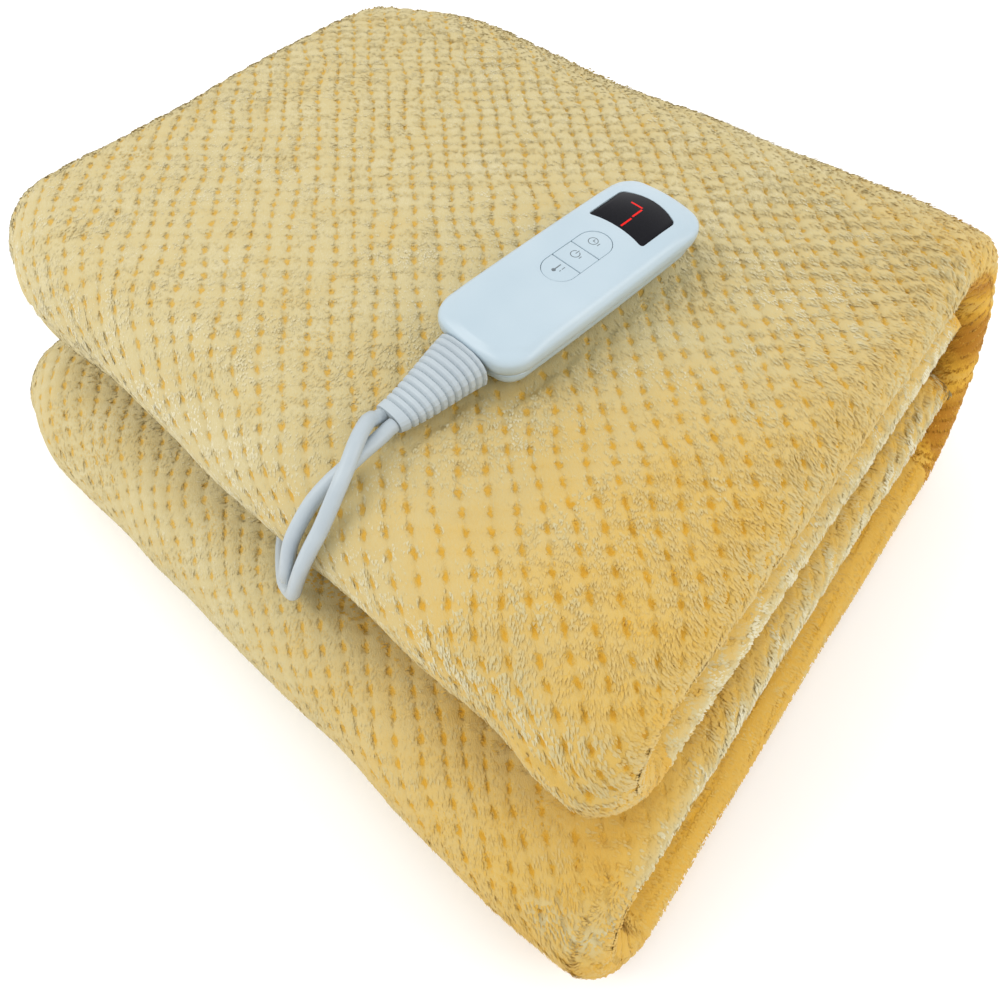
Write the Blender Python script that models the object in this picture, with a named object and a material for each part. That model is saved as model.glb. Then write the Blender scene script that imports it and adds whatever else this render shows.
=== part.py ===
"""A plush electric blanket, doubled twice, gate folded and halved, with its handset lying on it.

Metres, +Z up. The packet stands on z = 0 with the middle of its footprint at the origin. X runs across the
folds: the two round folds are at -X and the wide wrap is at +X. Y runs along the folds, and the layers show
their round ends at -Y. The mains lead goes over the upper fold, along the crease and behind the packet.
"""

import math

import bmesh
import bpy
import numpy as np
from mathutils import Matrix, Vector

# Folded blanket. Each layer is the cloth doubled twice, so four plies of plush.
LAYER = 0.034
PAIR_GAP = 0.0055
MIDDLE_GAP = 0.0105
END_STEPS = 6
ALONG_STEPS = 17
FLAT_STEPS = 13
FOLD_STEPS = 9
WRAP_STEPS = 13
TOP_RISE = 0.0025
INNER_END_X = 0.126

# Handset
HANDSET_PLACE = (-0.0233, -0.0597)
HANDSET_TURN = math.radians(-5.7)
HANDSET_PITCH = math.radians(2.0)
HANDSET_LEAN = math.radians(4.0)
HANDSET_LENGTH = 0.123
HANDSET_WIDTH = 0.047
HANDSET_HEIGHT = 0.0235
PARTING_HEIGHT = 0.0105
CORNER_RADIUS = 0.0085
END_BULGE = 0.0042
SIDE_BULGE = 0.0008
FIT = 0.0003

# Window and keys, in the handset's own x from its middle, the cord end being at -x
WINDOW_NEAR = 0.0234
WINDOW_FAR = 0.0450
WINDOW_WIDTH = 0.0290
WINDOW_NEAR_BOW = 0.0020
WINDOW_FAR_BOW = 0.0040
WINDOW_DEPTH = 0.0015
PAD_NEAR = -0.0170
PAD_FAR = 0.0185
PAD_DIVIDERS = (-0.0056, 0.0055)
PAD_WIDTH = 0.0154
KEY_THICKNESS = 0.0030
KEY_TRAVEL = 0.0006
WELL_DEPTH = 0.0042

# Strain relief and leads
BOOT_LENGTH = 0.036
BOOT_BASE = (0.0132, 0.0088)
BOOT_TIP = (0.0072, 0.0042)
BOOT_SWING = 0.0020
BOOT_RIBS = 12
CORD_DIAMETER = 0.006
COIL_MIDDLE_DIAMETER = 0.066
COIL_CENTRE = (0.020, 0.286)
COIL_SECTION = (0.0185, 0.0125)

# Plug
PLUG_START = (0.0930, 0.2530)
PLUG_LENGTH = 0.037
PLUG_HEIGHT = 0.0138
PIN_LENGTH = 0.019
PIN_DIAMETER = 0.004
PIN_SPACING = 0.0186

HEIGHT = 4 * LAYER + 2 * PAIR_GAP + MIDDLE_GAP
LAYER_Z = {
    "D": LAYER / 2,
    "C": LAYER * 1.5 + PAIR_GAP,
    "B": LAYER * 2.5 + PAIR_GAP + MIDDLE_GAP,
    "A": LAYER * 3.5 + 2 * PAIR_GAP + MIDDLE_GAP,
}
# The outermost x of the upper fold, the lower fold and the wrap, from the -Y end (v -0.5) to the +Y end
FOLD_LINES = (
    # v, upper fold, lower fold, wrap
    (-0.50, -0.1790, -0.2102, 0.1935),
    (-0.46, -0.1783, -0.2102, 0.1980),
    (-0.42, -0.1757, -0.2091, 0.2005),
    (-0.34, -0.1749, -0.2068, 0.1991),
    (-0.25, -0.1732, -0.2040, 0.1973),
    (-0.12, -0.1708, -0.2017, 0.1996),
    (0.00, -0.1677, -0.2004, 0.2017),
    (0.12, -0.1632, -0.1966, 0.2048),
    (0.25, -0.1601, -0.1927, 0.2082),
    (0.34, -0.1600, -0.1919, 0.2090),
    (0.42, -0.1586, -0.1900, 0.2080),
    (0.46, -0.1541, -0.1845, 0.2015),
    (0.50, -0.1461, -0.1773, 0.1915),
)
# Where each layer ends at -Y and at +Y, for a few places across it
END_LINES = (
    # x, A near, B near, C near, D near, A far, B far, C far, D far
    (-0.16, -0.1890, -0.1952, -0.2090, -0.2209, 0.2077, 0.2077, 0.2127, 0.2162),
    (-0.05, -0.1880, -0.1937, -0.2060, -0.2188, 0.2152, 0.2110, 0.2127, 0.2162),
    (0.06, -0.1866, -0.1916, -0.2035, -0.2173, 0.2211, 0.2140, 0.2127, 0.2162),
    (0.17, -0.1850, -0.1885, -0.2020, -0.2164, 0.2174, 0.2160, 0.2127, 0.2162),
)


def clear_scene():
    for item in list(bpy.data.objects):
        bpy.data.objects.remove(item, do_unlink=True)


def material(name, colour, roughness, metallic=0.0):
    made = bpy.data.materials.new(name)
    made.use_nodes = True
    shader = made.node_tree.nodes["Principled BSDF"]
    shader.inputs["Base Color"].default_value = (*colour, 1.0)
    shader.inputs["Roughness"].default_value = roughness
    shader.inputs["Metallic"].default_value = metallic
    return made


def plush():
    return material("plush", (0.80, 0.58, 0.27), 0.9)


def pale_plastic():
    return material("pale_plastic", (0.66, 0.74, 0.78), 0.3)


def black_gloss():
    return material("black_gloss", (0.01, 0.01, 0.015), 0.08)


def cord_rubber():
    return material("cord_rubber", (0.60, 0.66, 0.70), 0.45)


def pin_metal():
    return material("pin_metal", (0.75, 0.74, 0.72), 0.25, 1.0)


def new_object(name, mesh, finish):
    made = bpy.data.objects.new(name, mesh)
    made.data.materials.append(finish)
    bpy.context.scene.collection.objects.link(made)
    return made


def mesh_from(name, points, faces):
    """A mesh with its doubles merged and its faces turned outwards."""
    work = bmesh.new()
    corners = [work.verts.new(point) for point in points]
    for face in faces:
        distinct = list(dict.fromkeys(face))
        if len(distinct) > 2:
            work.faces.new([corners[i] for i in distinct])
    bmesh.ops.remove_doubles(work, verts=work.verts, dist=1e-6)
    bmesh.ops.recalc_face_normals(work, faces=work.faces)
    mesh = bpy.data.meshes.new(name)
    work.to_mesh(mesh)
    work.free()
    return mesh


def loft(name, rings, finish, closed=False, sharp=35):
    """A body skinned over rings of equal count; a closed one runs back to its first ring."""
    count = len(rings[0])
    total = len(rings)
    faces = []
    for r in range(total if closed else total - 1):
        following = (r + 1) % total
        for k in range(count):
            after = (k + 1) % count
            a, b = r * count + k, r * count + after
            faces.append((a, b, following * count + after, following * count + k))
    if not closed:
        faces.append(tuple(range(count)))
        faces.append(tuple(range((total - 1) * count, total * count)))
    mesh = mesh_from(name, [point for ring in rings for point in ring], faces)
    smooth(mesh, sharp)
    return new_object(name, mesh, finish)


def smooth(mesh, degrees=40):
    mesh.shade_smooth()
    mesh.set_sharp_from_angle(angle=math.radians(degrees))


def ease(value):
    value = min(max(value, 0.0), 1.0)
    return value * value * (3 - 2 * value)


# ---------------------------------------------------------------- folded blanket


def read_row(table, key):
    """The other columns of a table at one value of its first, along straight lines between rows."""
    columns = list(zip(*table, strict=True))
    return [float(np.interp(key, columns[0], column)) for column in columns[1:]]


def run(start, end, z, steps, first):
    """A level stretch of the section from one x to another, as (x, z, nx, nz)."""
    side = 1.0 if end > start else -1.0
    return [
        (start + (end - start) * i / steps, z, 0.0, side)
        for i in range(first, steps)
    ]


def turn(centre_x, centre_z, radius, start, end, steps):
    """A round stretch of the section, from one angle to another."""
    made = []
    for i in range(steps):
        angle = math.radians(start + (end - start) * i / steps)
        out = (math.cos(angle), math.sin(angle))
        made.append((centre_x + radius * out[0], centre_z + radius * out[1], *out))
    return made


def section(v):
    """The middle line of the cloth at v, from the upper free end round to the lower one, with its layer."""
    upper_x, lower_x, wrap_x = read_row(FOLD_LINES, v)
    z = LAYER_Z
    fold_radius = (z["A"] - z["B"]) / 2
    wrap_radius = (z["A"] - z["D"]) / 2
    upper_centre = upper_x + LAYER / 2 + fold_radius
    lower_centre = lower_x + LAYER / 2 + fold_radius
    wrap_centre = wrap_x - LAYER / 2 - wrap_radius
    line = run(INNER_END_X, upper_centre, z["B"], FLAT_STEPS, 0)
    layers = [("B", "B", 0.0)] * len(line)
    line += turn(upper_centre, (z["A"] + z["B"]) / 2, fold_radius, 270, 90, FOLD_STEPS)
    layers += [("B", "A", i / FOLD_STEPS) for i in range(FOLD_STEPS)]
    line += run(upper_centre, wrap_centre, z["A"], FLAT_STEPS + 1, 0)
    layers += [("A", "A", 0.0)] * (FLAT_STEPS + 1)
    line += turn(wrap_centre, (z["A"] + z["D"]) / 2, wrap_radius, 90, -90, WRAP_STEPS)
    layers += [("A", "D", i / WRAP_STEPS) for i in range(WRAP_STEPS)]
    line += run(wrap_centre, lower_centre, z["D"], FLAT_STEPS + 1, 0)
    layers += [("D", "D", 0.0)] * (FLAT_STEPS + 1)
    line += turn(lower_centre, (z["C"] + z["D"]) / 2, fold_radius, 270, 90, FOLD_STEPS)
    layers += [("D", "C", i / FOLD_STEPS) for i in range(FOLD_STEPS)]
    line += run(lower_centre, INNER_END_X + 0.004, z["C"], FLAT_STEPS, 0)
    layers += [("C", "C", 0.0)] * FLAT_STEPS
    line.append((INNER_END_X + 0.004, z["C"], 0.0, 1.0))
    layers.append(("C", "C", 0.0))
    return line, layers


def with_free_ends(line, layers):
    """The same line with stations added where its two free ends grow thin, and the share of thickness."""
    half = LAYER / 2
    shares = [1.0] * len(line)
    first, last = line[0], line[-1]
    for i in range(1, END_STEPS):
        angle = math.radians(15 + 75 * (END_STEPS - 1 - i) / (END_STEPS - 1))
        reach, share = half * math.cos(angle), math.sin(angle)
        line = [(first[0] + reach, *first[1:])] + line + [(last[0] + reach, *last[1:])]
        layers = [layers[0]] + layers + [layers[-1]]
        shares = [share] + shares + [share]
    return line, layers, shares


def along_stations():
    """Stations along Y as (v, reach past the last full station, share of the thickness)."""
    rows = []
    for i in range(END_STEPS - 1, 0, -1):
        angle = math.radians(15 + 75 * (END_STEPS - 1 - i) / (END_STEPS - 1))
        rows.append((-0.5, math.cos(angle), math.sin(angle)))
    rows += [(-0.5 + j / ALONG_STEPS, 0.0, 1.0) for j in range(ALONG_STEPS + 1)]
    for i in range(1, END_STEPS):
        angle = math.radians(15 + 75 * (END_STEPS - 1 - i) / (END_STEPS - 1))
        rows.append((0.5, math.cos(angle), math.sin(angle)))
    return rows


def layer_y(x, names, v, reach):
    """The y of a station, whose ends lie where that layer's ends do."""
    first, second, share = names
    share = ease(share)
    ends = read_row(END_LINES, x)
    near, far = ends[:4], ends[4:]
    a, b = "ABCD".index(first), "ABCD".index(second)
    half = LAYER / 2
    low = near[a] * (1 - share) + near[b] * share + half
    high = far[a] * (1 - share) + far[b] * share - half
    y = low + (high - low) * (v + 0.5)
    return y + math.copysign(reach * half, v)


def bed_height(x, y):
    """The height of the handset's underside over one place on the cloth, and how far it governs there."""
    dx, dy = x - HANDSET_PLACE[0], y - HANDSET_PLACE[1]
    c, s = math.cos(HANDSET_TURN), math.sin(HANDSET_TURN)
    along, aside = dx * c + dy * s, -dx * s + dy * c
    plane = along * math.tan(HANDSET_PITCH) + aside * math.tan(HANDSET_LEAN)
    past_end = (abs(along + 0.014) - 0.078) / 0.045
    past_side = (abs(aside) - 0.026) / 0.045
    share = (1 - ease(past_end)) * (1 - ease(past_side))
    return plane, share


def soft_rise(x, y):
    """The soft rise and fall of the cloth's outer face."""
    wave = math.sin(21.0 * x + 9.0 * y + 0.4) * math.cos(17.0 * y - 6.0 * x)
    wave += 0.5 * math.sin(37.0 * y + 12.0 * x + 1.3)
    return TOP_RISE * wave / 1.5


def face_rise(x, y, z, nx, nz):
    """How far the cloth's outer face stands off its even thickness at one place."""
    if z > HEIGHT - LAYER and nz > -0.01 and x > -0.17:
        plane, share = bed_height(x, y)
        return soft_rise(x, y) * (1 - share) + plane * share * max(nz, 0.0)
    if nx < -0.3 or (nx > 0.3 and x > 0.12):
        return 0.6 * soft_rise(x + z, y) * abs(nx)
    return 0.0


def build_blanket(finish):
    rows = along_stations()
    outer, inner = [], []
    for v, reach, end_share in rows:
        line, layers = section(v)
        line, layers, shares = with_free_ends(line, layers)
        outer_row, inner_row = [], []
        for (x, z, nx, nz), names, share in zip(line, layers, shares, strict=True):
            y = layer_y(x, names, v, reach)
            half = LAYER / 2 * share * end_share
            full = half + face_rise(x, y, z, nx, nz) * share * end_share
            outer_row.append((x + nx * full, y, z + nz * full))
            inner_row.append((x - nx * half, y, z - nz * half))
        outer.append(outer_row)
        inner.append(inner_row)
    count = len(outer[0])
    points = [p for row in outer for p in row] + [p for row in inner for p in row]
    base = len(rows) * count
    faces = []
    for j in range(len(rows) - 1):
        for i in range(count - 1):
            a, b = j * count + i, (j + 1) * count + i
            faces.append((a, a + 1, b + 1, b))
            faces.append((base + a, base + b, base + b + 1, base + a + 1))
    for i in range(count - 1):
        for row in (0, (len(rows) - 1) * count):
            faces.append((row + i, row + i + 1, base + row + i + 1, base + row + i))
    for j in range(len(rows) - 1):
        for i in (0, count - 1):
            a, b = j * count + i, (j + 1) * count + i
            faces.append((a, b, base + b, base + a))
    mesh = mesh_from("blanket", points, faces)
    smooth(mesh, 60)
    return new_object("blanket", mesh, finish)


# ---------------------------------------------------------------- handset


def shell_outline(inset):
    """The handset's outline in plan, drawn in by inset, with bowed ends and rounded corners."""
    half_x = HANDSET_LENGTH / 2 - END_BULGE - inset
    half_y = HANDSET_WIDTH / 2 - SIDE_BULGE - inset
    radius = max(CORNER_RADIUS - inset, 0.0015)
    points = []
    for quarter, (sx, sy) in enumerate(((1, 1), (-1, 1), (-1, -1), (1, -1))):
        for i in range(6):
            angle = math.radians(90 * quarter + 18 * i)
            points.append(
                (
                    sx * (half_x - radius) + radius * math.cos(angle),
                    sy * (half_y - radius) + radius * math.sin(angle),
                )
            )
        following = ((-1, 1), (-1, -1), (1, -1), (1, 1))[quarter]
        start = points[-1]
        angle = math.radians(90 * quarter + 90)
        end = (
            following[0] * (half_x - radius) + radius * math.cos(angle),
            following[1] * (half_y - radius) + radius * math.sin(angle),
        )
        steps = 5
        for i in range(1, steps):
            share = i / steps
            points.append(tuple(a + (b - a) * share for a, b in zip(start, end, strict=True)))
    bowed = []
    for x, y in points:
        x += math.copysign(END_BULGE * (1 - (y / half_y) ** 2), x) * min(1.0, abs(x) / half_x)
        y += math.copysign(SIDE_BULGE * (1 - (x / (half_x + END_BULGE)) ** 2), y)
        bowed.append((x, y))
    return bowed


def stacked(name, levels, finish):
    """A closed body through outlines of growing height, each level being (z, inset, crown)."""
    rings = []
    for z, inset, crown in levels:
        ring = [
            (x, y, z + crown * (1 - (2 * y / HANDSET_WIDTH) ** 2))
            for x, y in shell_outline(inset)
        ]
        rings.append(ring)
    return loft(name, rings, finish)


def build_handset_lower(finish):
    top = PARTING_HEIGHT - FIT
    levels = (
        (0.0, 0.0110, 0.0),
        (0.0009, 0.0086, 0.0),
        (0.0030, 0.0062, 0.0),
        (0.0060, 0.0044, 0.0),
        (top - 0.0006, 0.0030, 0.0),
        (top, 0.0034, 0.0),
    )
    return stacked("handset_lower", levels, finish)


def crown_height(y):
    """The height of the upper shell's crowned face above its rim, away from the rounded edge."""
    return 0.0022 * (1 - (2 * y / HANDSET_WIDTH) ** 2)


def build_handset_upper(finish):
    rim = HANDSET_HEIGHT - 0.0022
    levels = (
        (PARTING_HEIGHT, 0.0030, 0.0),
        (PARTING_HEIGHT + 0.0006, 0.0022, 0.0),
        (rim - 0.0055, 0.0004, 0.0),
        (rim - 0.0038, 0.0002, 0.0),
        (rim - 0.0020, 0.0008, 0.0004),
        (rim - 0.0007, 0.0024, 0.0012),
        (rim, 0.0050, 0.0022),
        (rim, 0.0105, 0.0022),
        (rim, 0.0165, 0.0022),
        (rim, 0.0200, 0.0022),
    )
    return stacked("handset_upper", levels, finish)


def top_height(y):
    return HANDSET_HEIGHT - 0.0022 + crown_height(y)


def window_outline(inset):
    """The window's outline: straight sides and two ends that both bow towards the far end."""
    half = WINDOW_WIDTH / 2 - inset
    corner = 0.0022
    near, far = WINDOW_NEAR + inset, WINDOW_FAR - inset
    steps = 8
    reach = half - corner * 0.4
    points = []
    for i in range(steps + 1):
        y = -reach + 2 * reach * i / steps
        points.append((far + WINDOW_FAR_BOW * (1 - (y / half) ** 2), y))
    points += [(far - corner, half), (near + corner, half)]
    for i in range(steps + 1):
        y = reach - 2 * reach * i / steps
        points.append((near + WINDOW_NEAR_BOW * (1 - (y / half) ** 2), y))
    points += [(near + corner, -half), (far - corner, -half)]
    return points


def pad_outline(near, far, inset, near_round, far_round):
    """One key's outline; an end that is the pad's own end is round."""
    half = PAD_WIDTH / 2 - inset
    near, far = near + inset, far - inset
    points = []
    for i in range(9):
        y = -half + 2 * half * i / 8
        bow = math.sqrt(max(0.0, half * half - y * y)) if far_round else half
        points.append((far - half + bow, y))
    for i in range(9):
        y = half - 2 * half * i / 8
        bow = math.sqrt(max(0.0, half * half - y * y)) if near_round else half
        points.append((near + half - bow, y))
    return points


def prism(name, outline, bottom, top_of, finish=None):
    """An upright body over an outline, flat below, its top following the crown."""
    count = len(outline)
    points = [(x, y, bottom) for x, y in outline] + [(x, y, top_of(y)) for x, y in outline]
    faces = [(i, (i + 1) % count, count + (i + 1) % count, count + i) for i in range(count)]
    faces += [tuple(range(count)), tuple(range(count, 2 * count))]
    mesh = mesh_from(name, points, faces)
    smooth(mesh, 35)
    made = bpy.data.objects.new(name, mesh)
    bpy.context.scene.collection.objects.link(made)
    if finish:
        mesh.materials.append(finish)
    return made


def cut(body, cutter):
    cutter.hide_render = True
    cutter.display_type = "WIRE"
    step = body.modifiers.new("cut", "BOOLEAN")
    step.operation = "DIFFERENCE"
    step.solver = "EXACT"
    step.object = cutter


def key_rows():
    first, second = PAD_DIVIDERS
    return (
        ("key_warmth", PAD_NEAR, first, True, False),
        ("key_power", first, second, False, False),
        ("key_timer", second, PAD_FAR, False, True),
    )


def build_handset(frame):
    plastic, gloss = pale_plastic(), black_gloss()
    lower = build_handset_lower(plastic)
    upper = build_handset_upper(plastic)
    pieces = [lower, upper]
    bed = HANDSET_HEIGHT - 0.0022 - WINDOW_DEPTH
    recess = prism("window_bed", window_outline(0.0), bed, lambda y: HANDSET_HEIGHT + 0.004)
    window = prism("display_window", window_outline(FIT), bed + FIT, lambda y: top_height(y) - 0.0002, gloss)
    cut(upper, recess)
    pieces += [recess, window]
    for name, near, far, near_round, far_round in key_rows():
        floor = HANDSET_HEIGHT - WELL_DEPTH
        well = prism(
            name + "_well",
            pad_outline(near, far, 0.0001, near_round, far_round),
            floor,
            lambda y: HANDSET_HEIGHT + 0.004,
        )
        key = prism(
            name,
            pad_outline(near, far, 0.0001 + FIT, near_round, far_round),
            HANDSET_HEIGHT - KEY_THICKNESS,
            lambda y: top_height(y) + 0.0001,
            plastic,
        )
        cut(upper, well)
        pieces += [well, key]
    for piece in pieces:
        piece.parent = frame


# ---------------------------------------------------------------- strain relief


def build_boot(frame, finish):
    """A flattened ribbed boot, turned about its own line and drawn down to the cloth at its tip."""
    steps, sides = BOOT_RIBS * 4, 20
    start_z, end_z = PARTING_HEIGHT + 0.0005, 0.0052
    near = -HANDSET_LENGTH / 2 - FIT
    rings = []
    for i in range(steps + 1):
        share = i / steps
        half_w = BOOT_BASE[0] + (BOOT_TIP[0] - BOOT_BASE[0]) * share
        half_h = BOOT_BASE[1] + (BOOT_TIP[1] - BOOT_BASE[1]) * share
        phase = i % 4
        groove = 0.0009 if phase in (2,) and i < steps - 2 else 0.0
        x = near - BOOT_LENGTH * share
        z = start_z + (end_z - start_z) * ease(share)
        swing = BOOT_SWING * share**2
        ring = []
        for k in range(sides):
            angle = 2 * math.pi * k / sides
            power = 0.8
            cy = math.copysign(abs(math.cos(angle)) ** power, math.cos(angle))
            cz = math.copysign(abs(math.sin(angle)) ** power, math.sin(angle))
            ring.append((x, swing + (half_w - groove) * cy, z + (half_h - groove) * cz))
        rings.append(ring)
    made = loft("strain_relief", rings, finish, sharp=50)
    made.parent = frame
    return made


# ---------------------------------------------------------------- leads, coil and plug


def smooth_route(route, spacing):
    """Points a set distance apart on one smooth curve through the route's own points."""
    points = [Vector(p) for p in route]
    points = [points[0] * 2 - points[1]] + points + [points[-1] * 2 - points[-2]]
    dense = []
    for i in range(1, len(points) - 2):
        p0, p1, p2, p3 = points[i - 1 : i + 3]
        for k in range(24):
            t = k / 24
            dense.append(
                0.5
                * (
                    2 * p1
                    + (p2 - p0) * t
                    + (2 * p0 - 5 * p1 + 4 * p2 - p3) * t * t
                    + (3 * p1 - p0 - 3 * p2 + p3) * t**3
                )
            )
    dense.append(points[-2])
    lengths = [0.0]
    for a, b in zip(dense, dense[1:], strict=False):
        lengths.append(lengths[-1] + (b - a).length)
    count = max(2, round(lengths[-1] / spacing))
    at = np.linspace(0, lengths[-1], count + 1)
    columns = [np.interp(at, lengths, [p[k] for p in dense]) for k in range(3)]
    return list(zip(*columns, strict=True))


def tube(name, route, finish, lead_in=()):
    """A round lead along a smooth route, after any exact points it starts with."""
    curve = bpy.data.curves.new(name, "CURVE")
    curve.dimensions = "3D"
    curve.bevel_depth = CORD_DIAMETER / 2
    curve.bevel_resolution = 2
    curve.use_fill_caps = True
    points = list(lead_in) + smooth_route(route, 2.2 * CORD_DIAMETER)
    spline = curve.splines.new("POLY")
    spline.points.add(len(points) - 1)
    for point, place in zip(spline.points, points, strict=True):
        point.co = (*place, 1.0)
    made = bpy.data.objects.new(name, curve)
    curve.materials.append(finish)
    bpy.context.scene.collection.objects.link(made)
    return made


# Route points in the object's frame: over the upper fold, into the crease, along it and down behind.
MAINS_ROUTE = (
    (-0.1270, -0.0459, 0.1636),
    (-0.1321, -0.0484, 0.1661),
    (-0.1400, -0.0525, 0.1673),
    (-0.1475, -0.0555, 0.1647),
    (-0.1545, -0.0573, 0.1608),
    (-0.1610, -0.0578, 0.1547),
    (-0.1665, -0.0570, 0.1473),
    (-0.1713, -0.0553, 0.1400),
    (-0.1752, -0.0510, 0.1273),
    (-0.1768, -0.0450, 0.1120),
    (-0.1768, -0.0395, 0.0990),
    (-0.1750, -0.0320, 0.0870),
    (-0.1713, -0.0208, 0.0803),
    (-0.1610, -0.0075, 0.0787),
    (-0.1490, 0.0040, 0.0787),
    (-0.1370, 0.0180, 0.0787),
    (-0.1290, 0.0370, 0.0787),
    (-0.1250, 0.0600, 0.0787),
    (-0.1240, 0.1000, 0.0787),
    (-0.1240, 0.1450, 0.0787),
    (-0.1250, 0.1850, 0.0787),
    (-0.1280, 0.2180, 0.0780),
    (-0.1180, 0.2420, 0.0700),
    (-0.0980, 0.2560, 0.0530),
    (-0.0700, 0.2600, 0.0310),
    (-0.0430, 0.2560, 0.0120),
    (-0.0240, 0.2535, 0.0055),
    (-0.0103, 0.2530, 0.0055),
)
BLANKET_ROUTE = (
    (-0.1298, -0.0526, 0.1606),
    (-0.1383, -0.0525, 0.1605),
    (-0.1461, -0.0519, 0.1590),
    (-0.1525, -0.0502, 0.1562),
    (-0.1605, -0.0482, 0.1512),
    (-0.1674, -0.0467, 0.1440),
    (-0.1726, -0.0445, 0.1346),
    (-0.1752, -0.0413, 0.1215),
    (-0.1756, -0.0362, 0.1075),
    (-0.1732, -0.0305, 0.0955),
    (-0.1680, -0.0255, 0.0865),
    (-0.1590, -0.0215, 0.0805),
    (-0.1460, -0.0180, 0.0787),
    (-0.1200, -0.0120, 0.0787),
    (-0.0900, -0.0040, 0.0787),
)
TAIL_ROUTE = (
    (0.0503, 0.2530, 0.0060),
    (0.0620, 0.2530, 0.0046),
    (0.0780, 0.2530, 0.0066),
    (0.0923, 0.2530, 0.0069),
)


def from_handset(x, y, z):
    """A place in the handset's own frame, as one in the object's."""
    turned = Matrix.Rotation(HANDSET_TURN, 3, "Z") @ Matrix.Rotation(-HANDSET_PITCH, 3, "Y")
    turned = turned @ Matrix.Rotation(HANDSET_LEAN, 3, "X")
    return tuple(turned @ Vector((x, y, z)) + Vector((*HANDSET_PLACE, HEIGHT + FIT)))


def lead_from_boot(name, side, route, finish):
    """A lead that leaves the boot's tip on one side of its middle."""
    start = -HANDSET_LENGTH / 2 - BOOT_LENGTH - 3 * FIT
    exit_points = [
        from_handset(start - step, BOOT_SWING + side * 0.00325, 0.0052) for step in (0.0, 0.0025)
    ]
    return tube(name, [exit_points[1], *route], finish, lead_in=exit_points[:1])


def build_coil(finish):
    """The outer shape of the wound lead: a turned ring with a flat foot."""
    half_w, height = COIL_SECTION[0] / 2, COIL_SECTION[1]
    mean = COIL_MIDDLE_DIAMETER / 2
    steps, sides = 36, 12
    rings = []
    for j in range(steps):
        place = 2 * math.pi * j / steps
        ring = []
        for k in range(sides):
            angle = 2 * math.pi * (k + 0.5) / sides
            reach = mean + half_w * math.cos(angle)
            lift = height / 2 * math.sin(angle) / math.sin(math.pi * (sides - 1) / (2 * sides))
            ring.append(
                (
                    COIL_CENTRE[0] + reach * math.cos(place),
                    COIL_CENTRE[1] + reach * math.sin(place),
                    height / 2 + min(max(lift, -height / 2), height / 2),
                )
            )
        rings.append(ring)
    return loft("mains_coil", rings, finish, closed=True)


def build_plug(body_finish, pin_finish):
    """A flat two-pin plug lying on its broad face, its cord end towards -X."""
    rings = []
    for share, half_w, half_h in (
        (0.00, 0.0048, 0.0046),
        (0.22, 0.0056, 0.0052),
        (0.42, 0.0080, 0.0062),
        (0.66, 0.0142, 0.0068),
        (0.90, 0.0172, 0.0069),
        (0.98, 0.0170, 0.0068),
        (1.00, 0.0160, 0.0060),
    ):
        x = PLUG_START[0] + PLUG_LENGTH * share
        ring = []
        for k in range(20):
            angle = 2 * math.pi * k / 20
            across = math.copysign(abs(math.cos(angle)) ** 0.6, math.cos(angle))
            up = math.copysign(abs(math.sin(angle)) ** 0.6, math.sin(angle))
            ring.append((x, PLUG_START[1] + half_w * across, PLUG_HEIGHT / 2 + half_h * up))
        rings.append(ring)
    loft("plug_body", rings, body_finish)
    for side, name in ((1, "plug_pin_left"), (-1, "plug_pin_right")):
        rings = []
        start = PLUG_START[0] + PLUG_LENGTH + FIT
        for reach, radius in ((0.0, 1.0), (0.92, 1.0), (0.98, 0.8), (1.0, 0.5)):
            rings.append(
                [
                    (
                        start + PIN_LENGTH * reach,
                        PLUG_START[1] + side * PIN_SPACING / 2 + PIN_DIAMETER / 2 * radius * math.cos(angle),
                        PLUG_HEIGHT / 2 + PIN_DIAMETER / 2 * radius * math.sin(angle),
                    )
                    for angle in (2 * math.pi * k / 14 for k in range(14))
                ]
            )
        loft(name, rings, pin_finish)


def main():
    clear_scene()
    build_blanket(plush())
    frame = bpy.data.objects.new("handset_frame", None)
    bpy.context.scene.collection.objects.link(frame)
    frame.location = (*HANDSET_PLACE, HEIGHT + FIT)
    frame.rotation_euler = (HANDSET_LEAN, -HANDSET_PITCH, HANDSET_TURN)
    build_handset(frame)
    rubber = cord_rubber()
    build_boot(frame, rubber)
    lead_from_boot("mains_lead", 1, MAINS_ROUTE, rubber)
    lead_from_boot("blanket_lead", -1, BLANKET_ROUTE, rubber)
    tube("mains_tail", TAIL_ROUTE, rubber)
    build_coil(rubber)
    build_plug(rubber, pin_metal())


main()
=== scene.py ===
"""The folded plush electric blanket with its handset on it, dressed for its portrait.

Metres, +Z up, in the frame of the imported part. X runs across the folds and Y along them.
"""

import math

import bmesh
import bpy
import numpy as np
from mathutils import Euler, Matrix, Vector


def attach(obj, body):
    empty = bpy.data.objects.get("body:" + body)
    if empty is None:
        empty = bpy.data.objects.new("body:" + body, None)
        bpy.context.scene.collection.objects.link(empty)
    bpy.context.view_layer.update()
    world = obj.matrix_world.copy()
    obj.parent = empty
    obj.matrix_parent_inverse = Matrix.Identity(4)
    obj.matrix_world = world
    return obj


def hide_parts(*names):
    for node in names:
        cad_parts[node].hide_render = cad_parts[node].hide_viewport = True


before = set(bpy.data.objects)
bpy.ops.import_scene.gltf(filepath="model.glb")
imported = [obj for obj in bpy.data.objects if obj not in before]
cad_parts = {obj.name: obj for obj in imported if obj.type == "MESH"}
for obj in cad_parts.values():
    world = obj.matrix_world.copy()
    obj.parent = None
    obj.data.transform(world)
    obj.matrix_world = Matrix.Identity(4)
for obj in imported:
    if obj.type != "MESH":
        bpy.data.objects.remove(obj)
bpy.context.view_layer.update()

# ------------------------------------------------------------------ studio
# A camera at arm's length over the front left of the packet, looking down at it, on white paper
# under one broad soft lamp and the light of a white room.

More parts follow.
